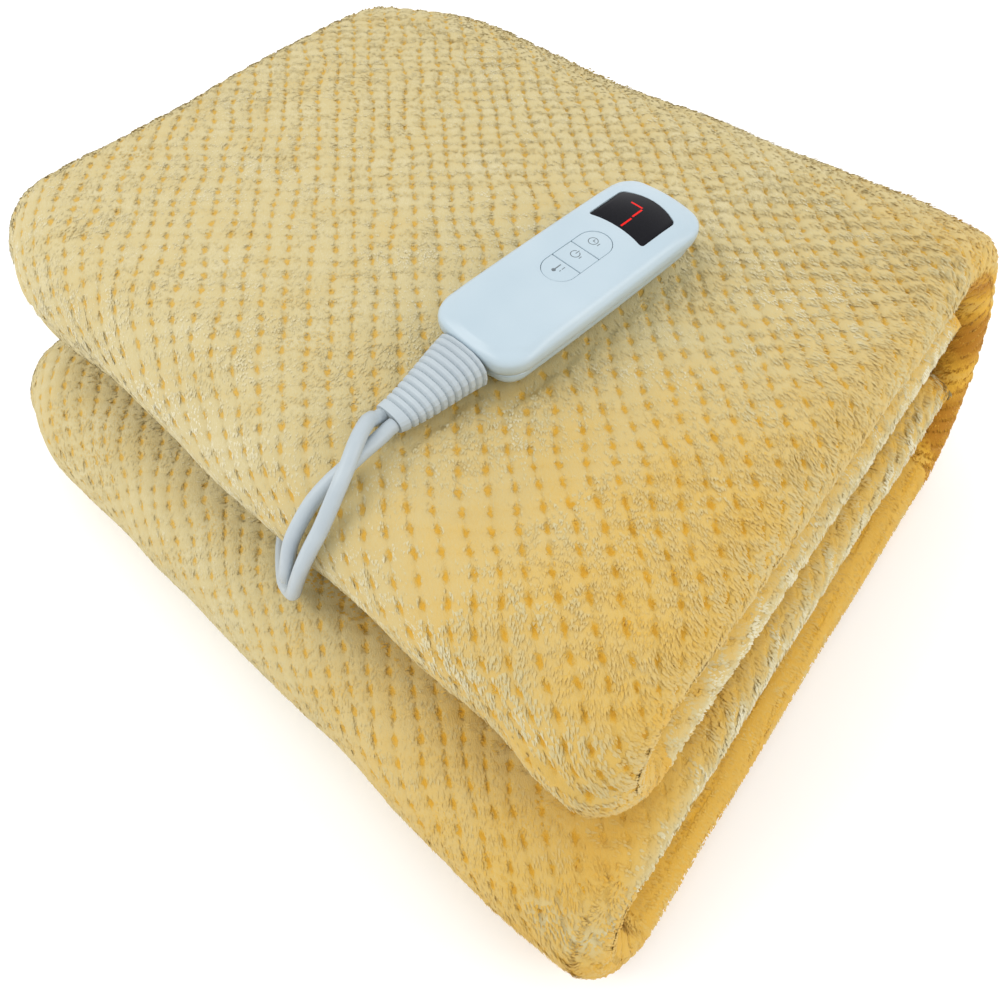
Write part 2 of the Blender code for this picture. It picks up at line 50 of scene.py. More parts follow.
CAMERA_PLACE = Vector((-0.24685, -0.20701, 0.37986))
CAMERA_DOWN = math.radians(53.81)
CAMERA_ROUND = math.radians(-50.03)
CAMERA_TILT = math.radians(-0.77)
CAMERA_LENS = 28.8


def look_down_on_the_packet():
    back = Vector(
        (
            math.sin(CAMERA_ROUND) * math.cos(CAMERA_DOWN),
            -math.cos(CAMERA_ROUND) * math.cos(CAMERA_DOWN),
            math.sin(CAMERA_DOWN),
        )
    )
    right = Vector((math.cos(CAMERA_ROUND), math.sin(CAMERA_ROUND), 0.0))
    up = back.cross(right)
    tilted_right = math.cos(CAMERA_TILT) * right + math.sin(CAMERA_TILT) * up
    tilted_up = math.cos(CAMERA_TILT) * up - math.sin(CAMERA_TILT) * right
    place = Matrix((tilted_right, tilted_up, back)).transposed().to_4x4()
    place.translation = CAMERA_PLACE
    eye = bpy.data.cameras.new("portrait_camera")
    eye.lens = CAMERA_LENS
    eye.sensor_width = 36.0
    eye.clip_start = 0.01
    holder = bpy.data.objects.new("portrait_camera", eye)
    bpy.context.scene.collection.objects.link(holder)
    holder.matrix_world = place
    bpy.context.scene.camera = holder


def soft_lamp(name, place, aim, width, height, watts, colour):
    panel = bpy.data.lights.new(name, "AREA")
    panel.shape = "RECTANGLE"
    panel.size, panel.size_y = width, height
    panel.energy = watts
    panel.color = colour
    holder = bpy.data.objects.new(name, panel)
    bpy.context.scene.collection.objects.link(holder)
    holder.location = place
    holder.rotation_mode = "QUATERNION"
    holder.rotation_quaternion = (Vector(aim) - Vector(place)).to_track_quat("-Z", "Y")


def new_finish(name, values):
    """A new material and its node tree, with these values on its shader."""
    finish = bpy.data.materials.new(name)
    finish.use_nodes = True
    shader = finish.node_tree.nodes["Principled BSDF"]
    for socket, value in values.items():
        shader.inputs[socket].default_value = value
    return finish, finish.node_tree


def add_node(tree, kind, inputs=None, **settings):
    """The outputs of a new node. Each of its inputs is given a number, a colour or a socket."""
    made = tree.nodes.new("ShaderNode" + kind)
    for word, value in settings.items():
        setattr(made, word, value)
    for socket, value in (inputs or {}).items():
        if isinstance(value, bpy.types.NodeSocket):
            tree.links.new(value, made.inputs[socket])
        else:
            made.inputs[socket].default_value = value
    return made.outputs


def feed(tree, socket, source):
    tree.links.new(source, tree.nodes["Principled BSDF"].inputs[socket])


def raise_surface(tree, height, strength, depth):
    """Bump on the shader's normal."""
    inputs = {"Height": height, "Strength": strength, "Distance": depth}
    feed(tree, "Normal", add_node(tree, "Bump", inputs)["Normal"])


def fine_grain(tree, spot, scale, strength, depth):
    grain = add_node(tree, "TexNoise", {"Vector": spot, "Scale": scale})["Fac"]
    raise_surface(tree, grain, strength, depth)


def white_paper():
    """The paper the packet lies on: one broad sheet with a faint tooth."""
    work = bmesh.new()
    bmesh.ops.create_grid(work, x_segments=2, y_segments=2, size=6.0)
    sheet = bpy.data.meshes.new("paper")
    work.to_mesh(sheet)
    work.free()
    paper = bpy.data.objects.new("paper", sheet)
    bpy.context.scene.collection.objects.link(paper)
    look = {"Base Color": (0.97, 0.97, 0.97, 1.0), "Roughness": 0.95, "Specular IOR Level": 0.1}
    finish, tree = new_finish("paper", look)
    tooth = add_node(tree, "TexNoise", {"Scale": 900.0})["Fac"]
    feed(tree, "Normal", add_node(tree, "Bump", {"Height": tooth, "Strength": 0.02})["Normal"])
    sheet.materials.append(finish)


def white_room():
    room = bpy.data.worlds.new("white_room")
    room.use_nodes = True
    room.node_tree.nodes["Background"].inputs["Color"].default_value = (1.0, 1.0, 1.0, 1.0)
    room.node_tree.nodes["Background"].inputs["Strength"].default_value = 1.10
    bpy.context.scene.world = room
    bpy.context.scene.view_settings.view_transform = "Standard"
    bpy.context.scene.view_settings.look = "None"


look_down_on_the_packet()
white_paper()
white_room()
soft_lamp("window_side", (-0.7, 0.55, 1.05), (0.0, 0.0, 0.08), 0.7, 0.7, 5.0, (1.0, 0.985, 0.95))
soft_lamp("fill_side", (0.5, -1.1, 0.7), (0.0, 0.0, 0.08), 0.9, 0.6, 4.5, (1.0, 0.99, 0.97))

# ------------------------------------------------------------------ leads
# Two round leads in pale grey rubber leave the strain relief side by side, go over the upper fold
# and into the crease. One runs on behind the packet to its coil and two-pin plug; the other ends
# in the cloth, at the heating wire.

LEAD_DIAMETER = 0.006
POINT_SPACING = 0.0035
MAINS_WAY = (
    (-0.1209, -0.0451, 0.1599),
    (-0.1234, -0.0449, 0.1598),
    (-0.1270, -0.0459, 0.1636),
    (-0.1321, -0.0484, 0.1661),
    (-0.1400, -0.0525, 0.1673),
    (-0.1475, -0.0555, 0.1647),
    (-0.1545, -0.0573, 0.1608),
    (-0.1610, -0.0578, 0.1547),
    (-0.1665, -0.0570, 0.1473),
    (-0.1713, -0.0553, 0.1400),
    (-0.1752, -0.0510, 0.1273),
    (-0.1768, -0.0450, 0.1120),
    (-0.1768, -0.0395, 0.0990),
    (-0.1750, -0.0320, 0.0870),
    (-0.1713, -0.0208, 0.0803),
    (-0.1610, -0.0075, 0.0787),
    (-0.1490, 0.0040, 0.0787),
    (-0.1370, 0.0180, 0.0787),
    (-0.1290, 0.0370, 0.0787),
    (-0.1250, 0.0600, 0.0787),
    (-0.1240, 0.1000, 0.0787),
    (-0.1240, 0.1450, 0.0787),
    (-0.1250, 0.1850, 0.0787),
    (-0.1280, 0.2180, 0.0780),
    (-0.1180, 0.2420, 0.0700),
    (-0.0980, 0.2560, 0.0530),
    (-0.0700, 0.2600, 0.0310),
    (-0.0430, 0.2560, 0.0120),
    (-0.0240, 0.2533, 0.0048),
)
BLANKET_LEAD_WAY = (
    (-0.1215, -0.0515, 0.1595),
    (-0.1240, -0.0513, 0.1594),
    (-0.1298, -0.0526, 0.1606),
    (-0.1383, -0.0525, 0.1605),
    (-0.1461, -0.0519, 0.1590),
    (-0.1525, -0.0502, 0.1562),
    (-0.1605, -0.0482, 0.1512),
    (-0.1674, -0.0467, 0.1440),
    (-0.1726, -0.0445, 0.1346),
    (-0.1752, -0.0413, 0.1215),
    (-0.1756, -0.0362, 0.1075),
    (-0.1732, -0.0305, 0.0955),
    (-0.1680, -0.0255, 0.0865),
    (-0.1590, -0.0215, 0.0805),
    (-0.1460, -0.0180, 0.0787),
    (-0.1200, -0.0120, 0.0787),
    (-0.0900, -0.0040, 0.0787),
)
COIL_MIDDLE = (0.020, 0.286)
COIL_RADII = (0.0400, 0.0339, 0.0278)
COIL_LAYERS = (0.0031, 0.0092)
STEPS_A_TURN = 32
SHIFT_STEPS = 8
LEAVING_STEPS = 4
LEAVING_RADIUS = 0.0460
PLUG_BACK = (0.0930, 0.2530, 0.0069)
MAINS_TAIL = (
    (0.0200, 0.2400, 0.0092),
    (0.0330, 0.2408, 0.0085),
    (0.0460, 0.2440, 0.0070),
    (0.0580, 0.2495, 0.0055),
    (0.0700, 0.2525, 0.0050),
    (0.0800, 0.2530, 0.0058),
    PLUG_BACK,
)


def eased(share):
    share = np.clip(share, 0.0, 1.0)
    return share * share * (3 - 2 * share)


def wound_lead():
    """Three turns inwards on the floor and three outwards on top, shifting where they began."""
    floor, top = COIL_LAYERS
    turns = [(r, floor) for r in COIL_RADII] + [(r, top) for r in reversed(COIL_RADII)]
    points = []
    for number, (radius, height) in enumerate(turns):
        before = turns[number - 1] if number else (COIL_RADII[0] + 0.0058, floor)
        leaving = LEAVING_STEPS if number == len(turns) - 1 else 0
        for step in range(STEPS_A_TURN + leaving):
            share = eased((step + 1) / SHIFT_STEPS)
            r = before[0] + (radius - before[0]) * share
            z = before[1] + (height - before[1]) * share
            if number == len(COIL_RADII):
                r -= 0.0018 * math.sin(math.pi * share)
            r += (LEAVING_RADIUS - r) * max(0, step + 1 - STEPS_A_TURN) / (LEAVING_STEPS + 1)
            angle = -math.pi / 2 + 2 * math.pi * (step - SHIFT_STEPS / 2) / STEPS_A_TURN
            x, y = COIL_MIDDLE[0] + r * math.cos(angle), COIL_MIDDLE[1] + r * math.sin(angle)
            points.append((x, y, z))
    return points


def smooth_way(way, spacing):
    """Points a set distance apart on one smooth curve through the given ones."""
    points = [Vector(p) for p in way]
    points = [points[0] * 2 - points[1]] + points + [points[-1] * 2 - points[-2]]
    dense = []
    for p0, p1, p2, p3 in zip(points, points[1:], points[2:], points[3:], strict=False):
        for k in range(12):
            t = k / 12
            turn = (2 * p0 - 5 * p1 + 4 * p2 - p3) * t * t + (3 * p1 - p0 - 3 * p2 + p3) * t**3
            dense.append((2 * p1 + (p2 - p0) * t + turn) / 2)
    dense.append(points[-2])
    steps = [(b - a).length for a, b in zip(dense, dense[1:], strict=False)]
    gone = np.concatenate([[0.0], np.cumsum(steps)])
    at = np.linspace(0, gone[-1], max(2, round(gone[-1] / spacing)) + 1)
    return list(zip(*[np.interp(at, gone, [p[k] for p in dense]) for k in range(3)], strict=True))


def lead(name, way, finish):
    curve = bpy.data.curves.new(name, "CURVE")
    curve.dimensions = "3D"
    curve.bevel_depth = LEAD_DIAMETER / 2
    curve.bevel_resolution = 5
    curve.use_fill_caps = True
    points = smooth_way(way, POINT_SPACING)
    spline = curve.splines.new("POLY")
    spline.points.add(len(points) - 1)
    for point, place in zip(spline.points, points, strict=True):
        point.co = (*place, 1.0)
    spline.use_smooth = True
    curve.materials.append(finish)
    made = bpy.data.objects.new(name, curve)
    bpy.context.scene.collection.objects.link(made)
    return made


def colour_steps(tree, source, steps):
    ramp = tree.nodes.new("ShaderNodeValToRGB")
    tree.links.new(source, ramp.inputs["Fac"])
    elements = ramp.color_ramp.elements
    elements[0].position, elements[0].color = steps[0][0], (*steps[0][1], 1.0)
    elements[1].position, elements[1].color = steps[-1][0], (*steps[-1][1], 1.0)
    for at, colour in steps[1:-1]:
        elements.new(at).color = (*colour, 1.0)
    return ramp.outputs["Color"]


def lead_rubber():
    """Pale blue-grey soft PVC with a satin skin, a little uneven along its length."""
    finish, tree = new_finish("lead_rubber", {"Roughness": 0.42})
    spot = add_node(tree, "TexCoord")["Object"]
    cloud = add_node(tree, "TexNoise", {"Vector": spot, "Scale": 70.0, "Detail": 3.0})["Fac"]
    steps = ((0.3, (0.375, 0.430, 0.468)), (0.7, (0.415, 0.472, 0.505)))
    feed(tree, "Base Color", colour_steps(tree, cloud, steps))
    fine_grain(tree, spot, 2400.0, 0.05, 0.0003)
    return finish


rubber = lead_rubber()
mains = lead("mains_lead_whole", MAINS_WAY + tuple(wound_lead()) + MAINS_TAIL, rubber)
blanket_lead = lead("blanket_lead_whole", BLANKET_LEAD_WAY, rubber)
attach(mains, "body")
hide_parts("mains_lead", "mains_coil", "mains_tail")
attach(blanket_lead, "body")
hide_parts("blanket_lead")

# ------------------------------------------------------------------ folded blanket
# One plush throw, doubled twice, gate folded and halved: the round upper fold lies on the lower
# one at the left, the wide wrap is at the right. Its knitted ground is drawn in at every small pit.

LAYER = 0.034
HEIGHT = 0.1575
LAYER_Z = {"D": 0.0170, "C": 0.0565, "B": 0.1010, "A": 0.1405}
INNER_END_X = 0.126
C_END_X = 0.130
UNROLLED_SHIFT = 0.62
TOP_RISE = 0.0025
HANDSET_PLACE = (-0.0233, -0.0597)
HANDSET_TURN = math.radians(-5.7)
HANDSET_PITCH = math.radians(2.0)
HANDSET_LEAN = math.radians(4.0)
FOLD_LINES = np.array(
    (
        # v, then the outermost x of the upper fold, the lower fold and the wrap
        (-0.50, -0.1790, -0.2102, 0.1935),
        (-0.46, -0.1783, -0.2102, 0.1980),
        (-0.42, -0.1757, -0.2091, 0.2005),
        (-0.34, -0.1749, -0.2068, 0.1991),
        (-0.25, -0.1732, -0.2040, 0.1973),
        (-0.12, -0.1708, -0.2017, 0.1996),
        (0.00, -0.1677, -0.2004, 0.2017),
        (0.12, -0.1632, -0.1966, 0.2048),
        (0.25, -0.1601, -0.1927, 0.2082),
        (0.34, -0.1600, -0.1919, 0.2090),
        (0.42, -0.1586, -0.1900, 0.2080),
        (0.46, -0.1541, -0.1845, 0.2015),
        (0.50, -0.1461, -0.1773, 0.1915),
    )
)
END_LINES = np.array(
    (
        # x, then the near ends of A, B, C and D and their far ends
        (-0.16, -0.1890, -0.1952, -0.2090, -0.2209, 0.2077, 0.2077, 0.2127, 0.2162),
        (-0.05, -0.1880, -0.1937, -0.2060, -0.2188, 0.2152, 0.2110, 0.2127, 0.2162),
        (0.06, -0.1866, -0.1916, -0.2035, -0.2173, 0.2211, 0.2140, 0.2127, 0.2162),
        (0.17, -0.1850, -0.1885, -0.2020, -0.2164, 0.2174, 0.2160, 0.2127, 0.2162),
    )
)
STATIONS = (
    # from, to, steps along the section
    (-0.94, 0.0, 4),
    (0.0, 0.80, 8),
    (0.80, 1.0, 24),
    (1.0, 2.0, 56),
    (2.0, 3.0, 124),
    (3.0, 4.0, 92),
    (4.0, 5.0, 12),
    (5.0, 6.0, 50),
    (6.0, 6.20, 24),
    (6.20, 7.0, 8),
)
PIT_ACROSS = 0.0063
PIT_ALONG = 0.0071
PIT_TURN = math.radians(-3.1)
PIT_SLANT = 0.6
PIT_DEPTH = 0.0013
KNOB_RISE = 0.0010
GROUND_DROP = 0.0014
MAP_SCALE = 0.66
MAP_START = (0.56, 0.30)
INSIDE_MAP_SHIFT = 100 * PIT_ALONG
FLAT_ROWS = 186
END_ROWS = 11


def read_lines(table, key):
    """Every other column of a table, along a smooth curve through its rows."""
    knots = table[:, 0]
    key = np.clip(key, knots[0], knots[-1])
    i = np.clip(np.searchsorted(knots, key, side="right") - 1, 0, len(knots) - 2)
    slopes = np.gradient(table[:, 1:], knots, axis=0)
    width = (knots[i + 1] - knots[i])[..., None]
    t = (key - knots[i])[..., None] / width
    a, b = table[i, 1:], table[i + 1, 1:]
    return (
        (2 * t**3 - 3 * t**2 + 1) * a
        + (t**3 - 2 * t**2 + t) * width * slopes[i]
        + (3 * t**2 - 2 * t**3) * b
        + (t**3 - t**2) * width * slopes[i + 1]
    )


def slow_noise(x, y, seed, size):
    """A smooth random field of about plus or minus one, with features of that size."""
    rng = np.random.default_rng(seed)
    total = np.zeros(np.broadcast(x, y).shape)
    for _ in range(14):
        angle, phase = rng.uniform(0, 2 * math.pi, 2)
        k = 2 * math.pi / (size * rng.uniform(0.7, 1.7))
        total += np.sin(k * (x * math.cos(angle) + y * math.sin(angle)) + phase)
    return total / 3.2


def unit(way):
    return way / (np.linalg.norm(way, axis=-1, keepdims=True) + 1e-12)


def cloth(a, b, outer):
    """The place, the outward normal and the unrolled place of points on the cloth.

    a counts the stretches of the section: 0 to 1 along B, 1 to 2 the upper fold, 2 to 3 along A,
    3 to 4 the wrap, 4 to 5 along D, 5 to 6 the lower fold and 6 to 7 along C, with the two free
    ends beyond. b is 0 to 1 from the -Y end to the +Y end, with the round ends beyond.
    """
    v = np.clip(b, 0.0, 1.0) - 0.5
    turn_b = np.where(b < 0, 1 + b, np.where(b > 1, 2 - b, 1.0)) * math.pi / 2
    turn_a = np.where(a < 0, 1 + a, np.where(a > 7, 8 - a, 1.0)) * math.pi / 2
    half = LAYER / 2
    fold_r = (LAYER_Z["A"] - LAYER_Z["B"]) / 2
    wrap_r = (LAYER_Z["A"] - LAYER_Z["D"]) / 2
    lines = read_lines(FOLD_LINES, v)
    upper = lines[..., 0] + half + fold_r
    lower = lines[..., 1] + half + fold_r
    wrap = lines[..., 2] - half - wrap_r
    t = np.clip(a, 0.0, 7.0)
    piece = np.minimum(t.astype(int), 6)
    t = t - piece
    x, z, nx, nz, share = (np.zeros_like(t) for _ in range(5))
    pair = np.zeros(t.shape + (2,), int)
    for number, start, end, name, side, layer in (
        (0, INNER_END_X, upper, "B", -1.0, 1),
        (2, upper, wrap, "A", 1.0, 0),
        (4, wrap, lower, "D", -1.0, 3),
        (6, lower, C_END_X, "C", 1.0, 2),
    ):
        here = piece == number
        x = np.where(here, start + (end - start) * t, x)
        z = np.where(here, LAYER_Z[name], z)
        nz = np.where(here, side, nz)
        pair[here] = (layer, layer)
    for number, centre, mid, radius, start, end, first, second in (
        (1, upper, "AB", fold_r, 270, 90, 1, 0),
        (3, wrap, "AD", wrap_r, 90, -90, 0, 3),
        (5, lower, "CD", fold_r, 270, 90, 3, 2),
    ):
        here = piece == number
        angle = np.radians(start + (end - start) * t)
        height = (LAYER_Z[mid[0]] + LAYER_Z[mid[1]]) / 2
        x = np.where(here, centre + radius * np.cos(angle), x)
        z = np.where(here, height + radius * np.sin(angle), z)
        nx = np.where(here, np.cos(angle), nx)
        nz = np.where(here, np.sin(angle), nz)
        share = np.where(here, t, share)
        pair[here] = (first, second)
    fold_arc, wrap_arc = math.pi * (fold_r + half), math.pi * (wrap_r + half)
    under = UNROLLED_SHIFT + lower
    knots = (
        2 * upper - INNER_END_X - fold_arc,
        upper - fold_arc,
        upper,
        wrap,
        wrap + wrap_arc,
        under - fold_arc,
        under,
        UNROLLED_SHIFT + C_END_X,
    )
    knots = np.stack(np.broadcast_arrays(*knots), -1)
    before, after = (np.take_along_axis(knots, (piece + k)[..., None], -1)[..., 0] for k in (0, 1))
    s = before + (after - before) * t
    ends = read_lines(END_LINES, x)
    near, far = (np.take_along_axis(ends, pair + k, -1) for k in (0, 4))
    share = eased(share)
    low = near[..., 0] * (1 - share) + near[..., 1] * share + half
    high = far[..., 0] * (1 - share) + far[..., 1] * share - half
    sign = np.where(b < 0.5, -1.0, 1.0)
    y = low + (high - low) * (v + 0.5) + sign * half * np.cos(turn_b)
    unrolled_y = low + (high - low) * (v + 0.5) + sign * half * (math.pi / 2 - turn_b)
    x = x + half * np.cos(turn_a)
    s = s + np.where(a < 0, -1, 1) * half * (math.pi / 2 - turn_a)
    thick = np.sin(turn_a) * np.sin(turn_b)
    side = 1.0 if outer else -1.0
    full = half * thick
    if outer:
        full = full + face_rise(x, y, z, nx, nz) * thick
    place = np.stack([x + side * nx * full, y, z + side * nz * full], -1)
    upwards = side * nz * thick
    normal = unit(np.stack([side * nx * thick + np.cos(turn_a), sign * np.cos(turn_b), upwards], -1))
    return place, normal, s, unrolled_y


def from_the_handset(x, y):
    """How far a point is from the handset's middle, along it and across it."""
    dx, dy = x - HANDSET_PLACE[0], y - HANDSET_PLACE[1]
    c, sn = math.cos(HANDSET_TURN), math.sin(HANDSET_TURN)
    return dx * c + dy * sn, -dx * sn + dy * c


def swell(x, y):
    """A slow uneven wave of about plus or minus one."""
    wave = np.sin(21.0 * x + 9.0 * y + 0.4) * np.cos(17.0 * y - 6.0 * x)
    return (wave + 0.5 * np.sin(37.0 * y + 12.0 * x + 1.3)) / 1.5


def face_rise(x, y, z, nx, nz):
    """The soft rise and fall of the outer face, and its bed under the handset."""
    along, aside = from_the_handset(x, y)
    plane = along * math.tan(HANDSET_PITCH) + aside * math.tan(HANDSET_LEAN)
    bed = 1 - eased((np.abs(along + 0.014) - 0.078) / 0.045)
    bed = bed * (1 - eased((np.abs(aside) - 0.026) / 0.045))
    on_top = (z > HEIGHT - LAYER) & (nz > -0.01) & (x > -0.17)
    top = TOP_RISE * swell(x, y) * (1 - bed) + plane * bed * np.maximum(nz, 0.0)
    side = 0.6 * TOP_RISE * swell(x + z, y) * np.abs(nx)
    round_part = (nx < -0.3) | ((nx > 0.3) & (x > 0.12))
    return np.where(on_top, top, np.where(round_part, side, 0.0))


def lattice(s, y):
    """Lattice coordinates whose whole numbers of matching parity are pits, a little uneven."""
    s = s + 0.0010 * slow_noise(s, y, 3, 0.035)
    y = y + 0.0010 * slow_noise(s, y, 4, 0.035)
    c, sn = math.cos(PIT_TURN), math.sin(PIT_TURN)
    return (s * c + y * sn) / PIT_ACROSS, (-s * sn + y * c) / PIT_ALONG


def pit_share(i, j):
    """1 at the middle of a pit, 0 on the knobs between them; pits are drawn out along the nap."""
    i, j = math.pi * i, math.pi * j
    wave = np.cos(i) * np.cos(j) + PIT_SLANT * np.sin(i) * np.sin(j)
    return eased((wave - 0.40) / 0.55)


def in_bed(place, margin):
    """True where the handset and its boot press on the pile."""
    along, aside = from_the_handset(place[..., 0], place[..., 1])
    aside = np.abs(aside)
    body = (np.abs(along) < 0.0615 + margin) & (aside < 0.0235 + margin)
    boot = (along < -0.05) & (along > -0.0985 - margin) & (aside < 0.0100 + margin / 3)
    return (body | boot) & (place[..., 2] > 0.14)


def knobbed(place):
    """How far the pile parts into separate knobs: little at the left and behind, fully at the right."""
    right = eased((place[..., 0] + 0.09 + 0.10 * place[..., 1]) / 0.24)
    behind = eased((place[..., 1] - 0.02) / 0.14)
    return (0.10 + 0.90 * right) * (1 - 0.55 * behind)


def ground_height(place, i, j):
    """How far the knitted ground stands off the even cloth, along its normal."""
    pit = pit_share(i, j)
    knob = np.abs(np.cos(math.pi * j) - np.cos(math.pi * i)) / 2
    slow = slow_noise(i, j, 11, 9.0)
    parted = knobbed(place)
    height = -GROUND_DROP - PIT_DEPTH * (0.75 + 0.45 * parted) * pit
    height = height + KNOB_RISE * parted * knob**0.85 + 0.0004 * slow
    return np.where(in_bed(place, 0.0), -GROUND_DROP - 0.001, height)


def stretch_stations():
    """Stations along the section, close where the cloth shows and far apart where it is hidden."""
    parts = [np.linspace(start, end, steps, endpoint=False) for start, end, steps in STATIONS]
    return np.concatenate([*parts, np.linspace(7.0, 7.94, 5)])


def row_stations(flat_steps, end_steps):
    """Stations along Y: the near round end, the flat length and the far round end."""
    near = np.linspace(-1.0, 0.0, end_steps, endpoint=False)
    far = np.linspace(1.0, 2.0, end_steps + 1)[1:]
    return np.concatenate([near, np.linspace(0.0, 1.0, flat_steps + 1), far])


def show_mapped(mesh, places):
    """Give the mesh its map and smooth faces, and show it."""
    layer = mesh.uv_layers.new(name="OFBake")
    corner = np.zeros(len(mesh.loops), np.int32)
    mesh.loops.foreach_get("vertex_index", corner)
    layer.data.foreach_set("uv", places[corner].astype(np.float32).ravel())
    mesh.shade_smooth()
    made = bpy.data.objects.new(mesh.name, mesh)
    bpy.context.scene.collection.objects.link(made)
    return made


def build_ground():
    """One closed mesh: the outer rows, the fewer inner rows and a strip along each free end."""
    columns = stretch_stations()
    rows = row_stations(FLAT_ROWS, END_ROWS)
    rows_inside = np.concatenate(
        [
            np.linspace(-1.0, 0.0, 9, endpoint=False),
            [0.0, 0.01, 0.025, 0.05, 0.10, 0.30, 0.50, 0.70, 0.90, 0.95, 0.975, 0.99, 1.0],
            np.linspace(1.0, 2.0, 10)[1:],
        ]
    )
    wide = len(columns)
    points, maps = [], []
    for stations, outer, shift in ((rows, True, 0.0), (rows_inside[1:-1], False, INSIDE_MAP_SHIFT)):
        a, b = np.meshgrid(columns, stations)
        place, normal, s, y = cloth(a, b, outer)
        i, j = lattice(s, y)
        if outer:
            place = place + normal * ground_height(place, i, j)[..., None]
        else:
            place = place - normal * (0.0008 + 0.0008 * pit_share(i, j))[..., None]
        points.append(place.reshape(-1, 3))
        across = (i * PIT_ACROSS + MAP_START[0]) * MAP_SCALE
        along = (j * PIT_ALONG + MAP_START[1] + shift) * MAP_SCALE
        maps.append(np.stack([across, along], -1).reshape(-1, 2))
    tall, tall_inside = len(rows), len(rows_inside) - 2
    base = tall * wide
    quads = []
    for j in range(tall - 1):
        k = j * wide + np.arange(wide - 1)
        quads.append(np.stack([k, k + 1, k + 1 + wide, k + wide], -1))
    for j in range(tall_inside - 1):
        k = base + j * wide + np.arange(wide - 1)
        quads.append(np.stack([k, k + wide, k + 1 + wide, k + 1], -1))
    k = np.arange(wide - 1)
    first_in, last_in = base, base + (tall_inside - 1) * wide
    last_out = (tall - 1) * wide
    quads.append(np.stack([k + 1, k, first_in + k, first_in + k + 1], -1))
    quads.append(np.stack([last_out + k, last_out + k + 1, last_in + k + 1, last_in + k], -1))
    faces = [tuple(q) for q in np.concatenate(quads)]
    for column, turned in ((0, False), (wide - 1, True)):
        left = [(rows[j], j * wide + column) for j in range(tall)]
        right = [(rows[0], column)]
        right += [(rows_inside[j + 1], base + j * wide + column) for j in range(tall_inside)]
        right += [(rows[-1], last_out + column)]
        p, q = 0, 0
        while p < len(left) - 1 or q < len(right) - 1:
            ahead = p < len(left) - 1 and (q == len(right) - 1 or left[p + 1][0] <= right[q + 1][0])
            if ahead:
                face = (left[p][1], left[p + 1][1], right[q][1])
                p += 1
            else:
                face = (left[p][1], right[q + 1][1], right[q][1])
                q += 1
            if len(set(face)) == 3:
                faces.append(face[::-1] if turned else face)
    mesh = bpy.data.meshes.new("ground_cloth")
    mesh.from_pydata(np.concatenate(points).tolist(), [], faces)
    mesh.validate()
    return show_mapped(mesh, np.concatenate(maps))


def maths(tree, operation, *numbers):
    """One sum on numbers or sockets."""
    return add_node(tree, "Math", dict(enumerate(numbers)), operation=operation)["Value"]


def fade(tree, source, start, end, low=0.0, high=1.0):
    """A smooth change from low to high as the source goes from start to end."""
    inputs = {"Value": source, "From Min": start, "From Max": end, "To Min": low, "To Max": high}
    return add_node(tree, "MapRange", inputs, interpolation_type="SMOOTHSTEP")["Result"]


DYE_SHADE_AND_SHEEN_STEPS = (
    # depth of tone, from a pit's floor to the palest tips: the pits' own dye, and the painted shade and
    # painted sheen of the folds, ends and rim
    (0.00, (0.380, 0.165, 0.018)),
    (0.25, (0.610, 0.338, 0.040)),
    (0.47, (0.590, 0.392, 0.104)),
    (0.72, (0.540, 0.455, 0.240)),
    (1.00, (0.700, 0.665, 0.500)),
)
# middle of the hollow inside the wrap, where painted shade darkens the pile
WRAP_HOLLOW = (0.121, 0.0788)
# heights and reach of the painted sheen along the rounded rim of each near end
SHEEN_RIM_HEIGHTS = (0.1020, 0.0580)
SHEEN_RIM_REACH = 0.016
UNDER_THE_TOP_LAYER = 0.1210
PLUSH_SHEEN = {"Sheen Weight": 0.10, "Sheen Roughness": 0.45, "Sheen Tint": (1.0, 0.90, 0.68, 1.0)}


def pit_waves(tree, spot):
    """The two waves of the pit lattice, frayed, and how near a pit's middle a place is."""
    flat = add_node(tree, "UVMap", uv_map="OFBake")["UV"]
    fray = add_node(tree, "TexNoise", {"Vector": spot, "Scale": 520.0, "Detail": 3.0})["Color"]
    amount = (0.0030 * MAP_SCALE, 0.0036 * MAP_SCALE, 0.0)
    moved = add_node(tree, "VectorMath", {0: fray, 1: amount, 2: flat}, operation="MULTIPLY_ADD")
    parts = add_node(tree, "SeparateXYZ", {"Vector": moved["Vector"]})
    waves, slants = [], []
    for axis, start, size, shift in (
        ("X", MAP_START[0], PIT_ACROSS, 0.0015),
        ("Y", MAP_START[1], PIT_ALONG, 0.0018),
    ):
        turn = maths(tree, "MULTIPLY", parts[axis], math.pi / MAP_SCALE / size)
        turn = maths(tree, "SUBTRACT", turn, (start + shift) * math.pi / size)
        waves.append(maths(tree, "COSINE", turn))
        slants.append(maths(tree, "SINE", turn))
    both = maths(tree, "MULTIPLY", maths(tree, "MULTIPLY", *slants), PIT_SLANT)
    return waves, fade(tree, maths(tree, "MULTIPLY_ADD", *waves, both), 0.64, 1.0)


def brushed_fibre(tree, spot):
    """Fine strokes along the nap."""
    turned = {"Vector": spot, "Rotation": (0.0, 0.0, math.radians(-48.0))}
    turned = add_node(tree, "Mapping", turned)["Vector"]
    drawn = add_node(tree, "Mapping", {"Vector": turned, "Scale": (0.8, 3.4, 1.6)})["Vector"]
    inputs = {"Vector": drawn, "Scale": 620.0, "Detail": 4.0, "Roughness": 0.65}
    return add_node(tree, "TexNoise", inputs)["Fac"]


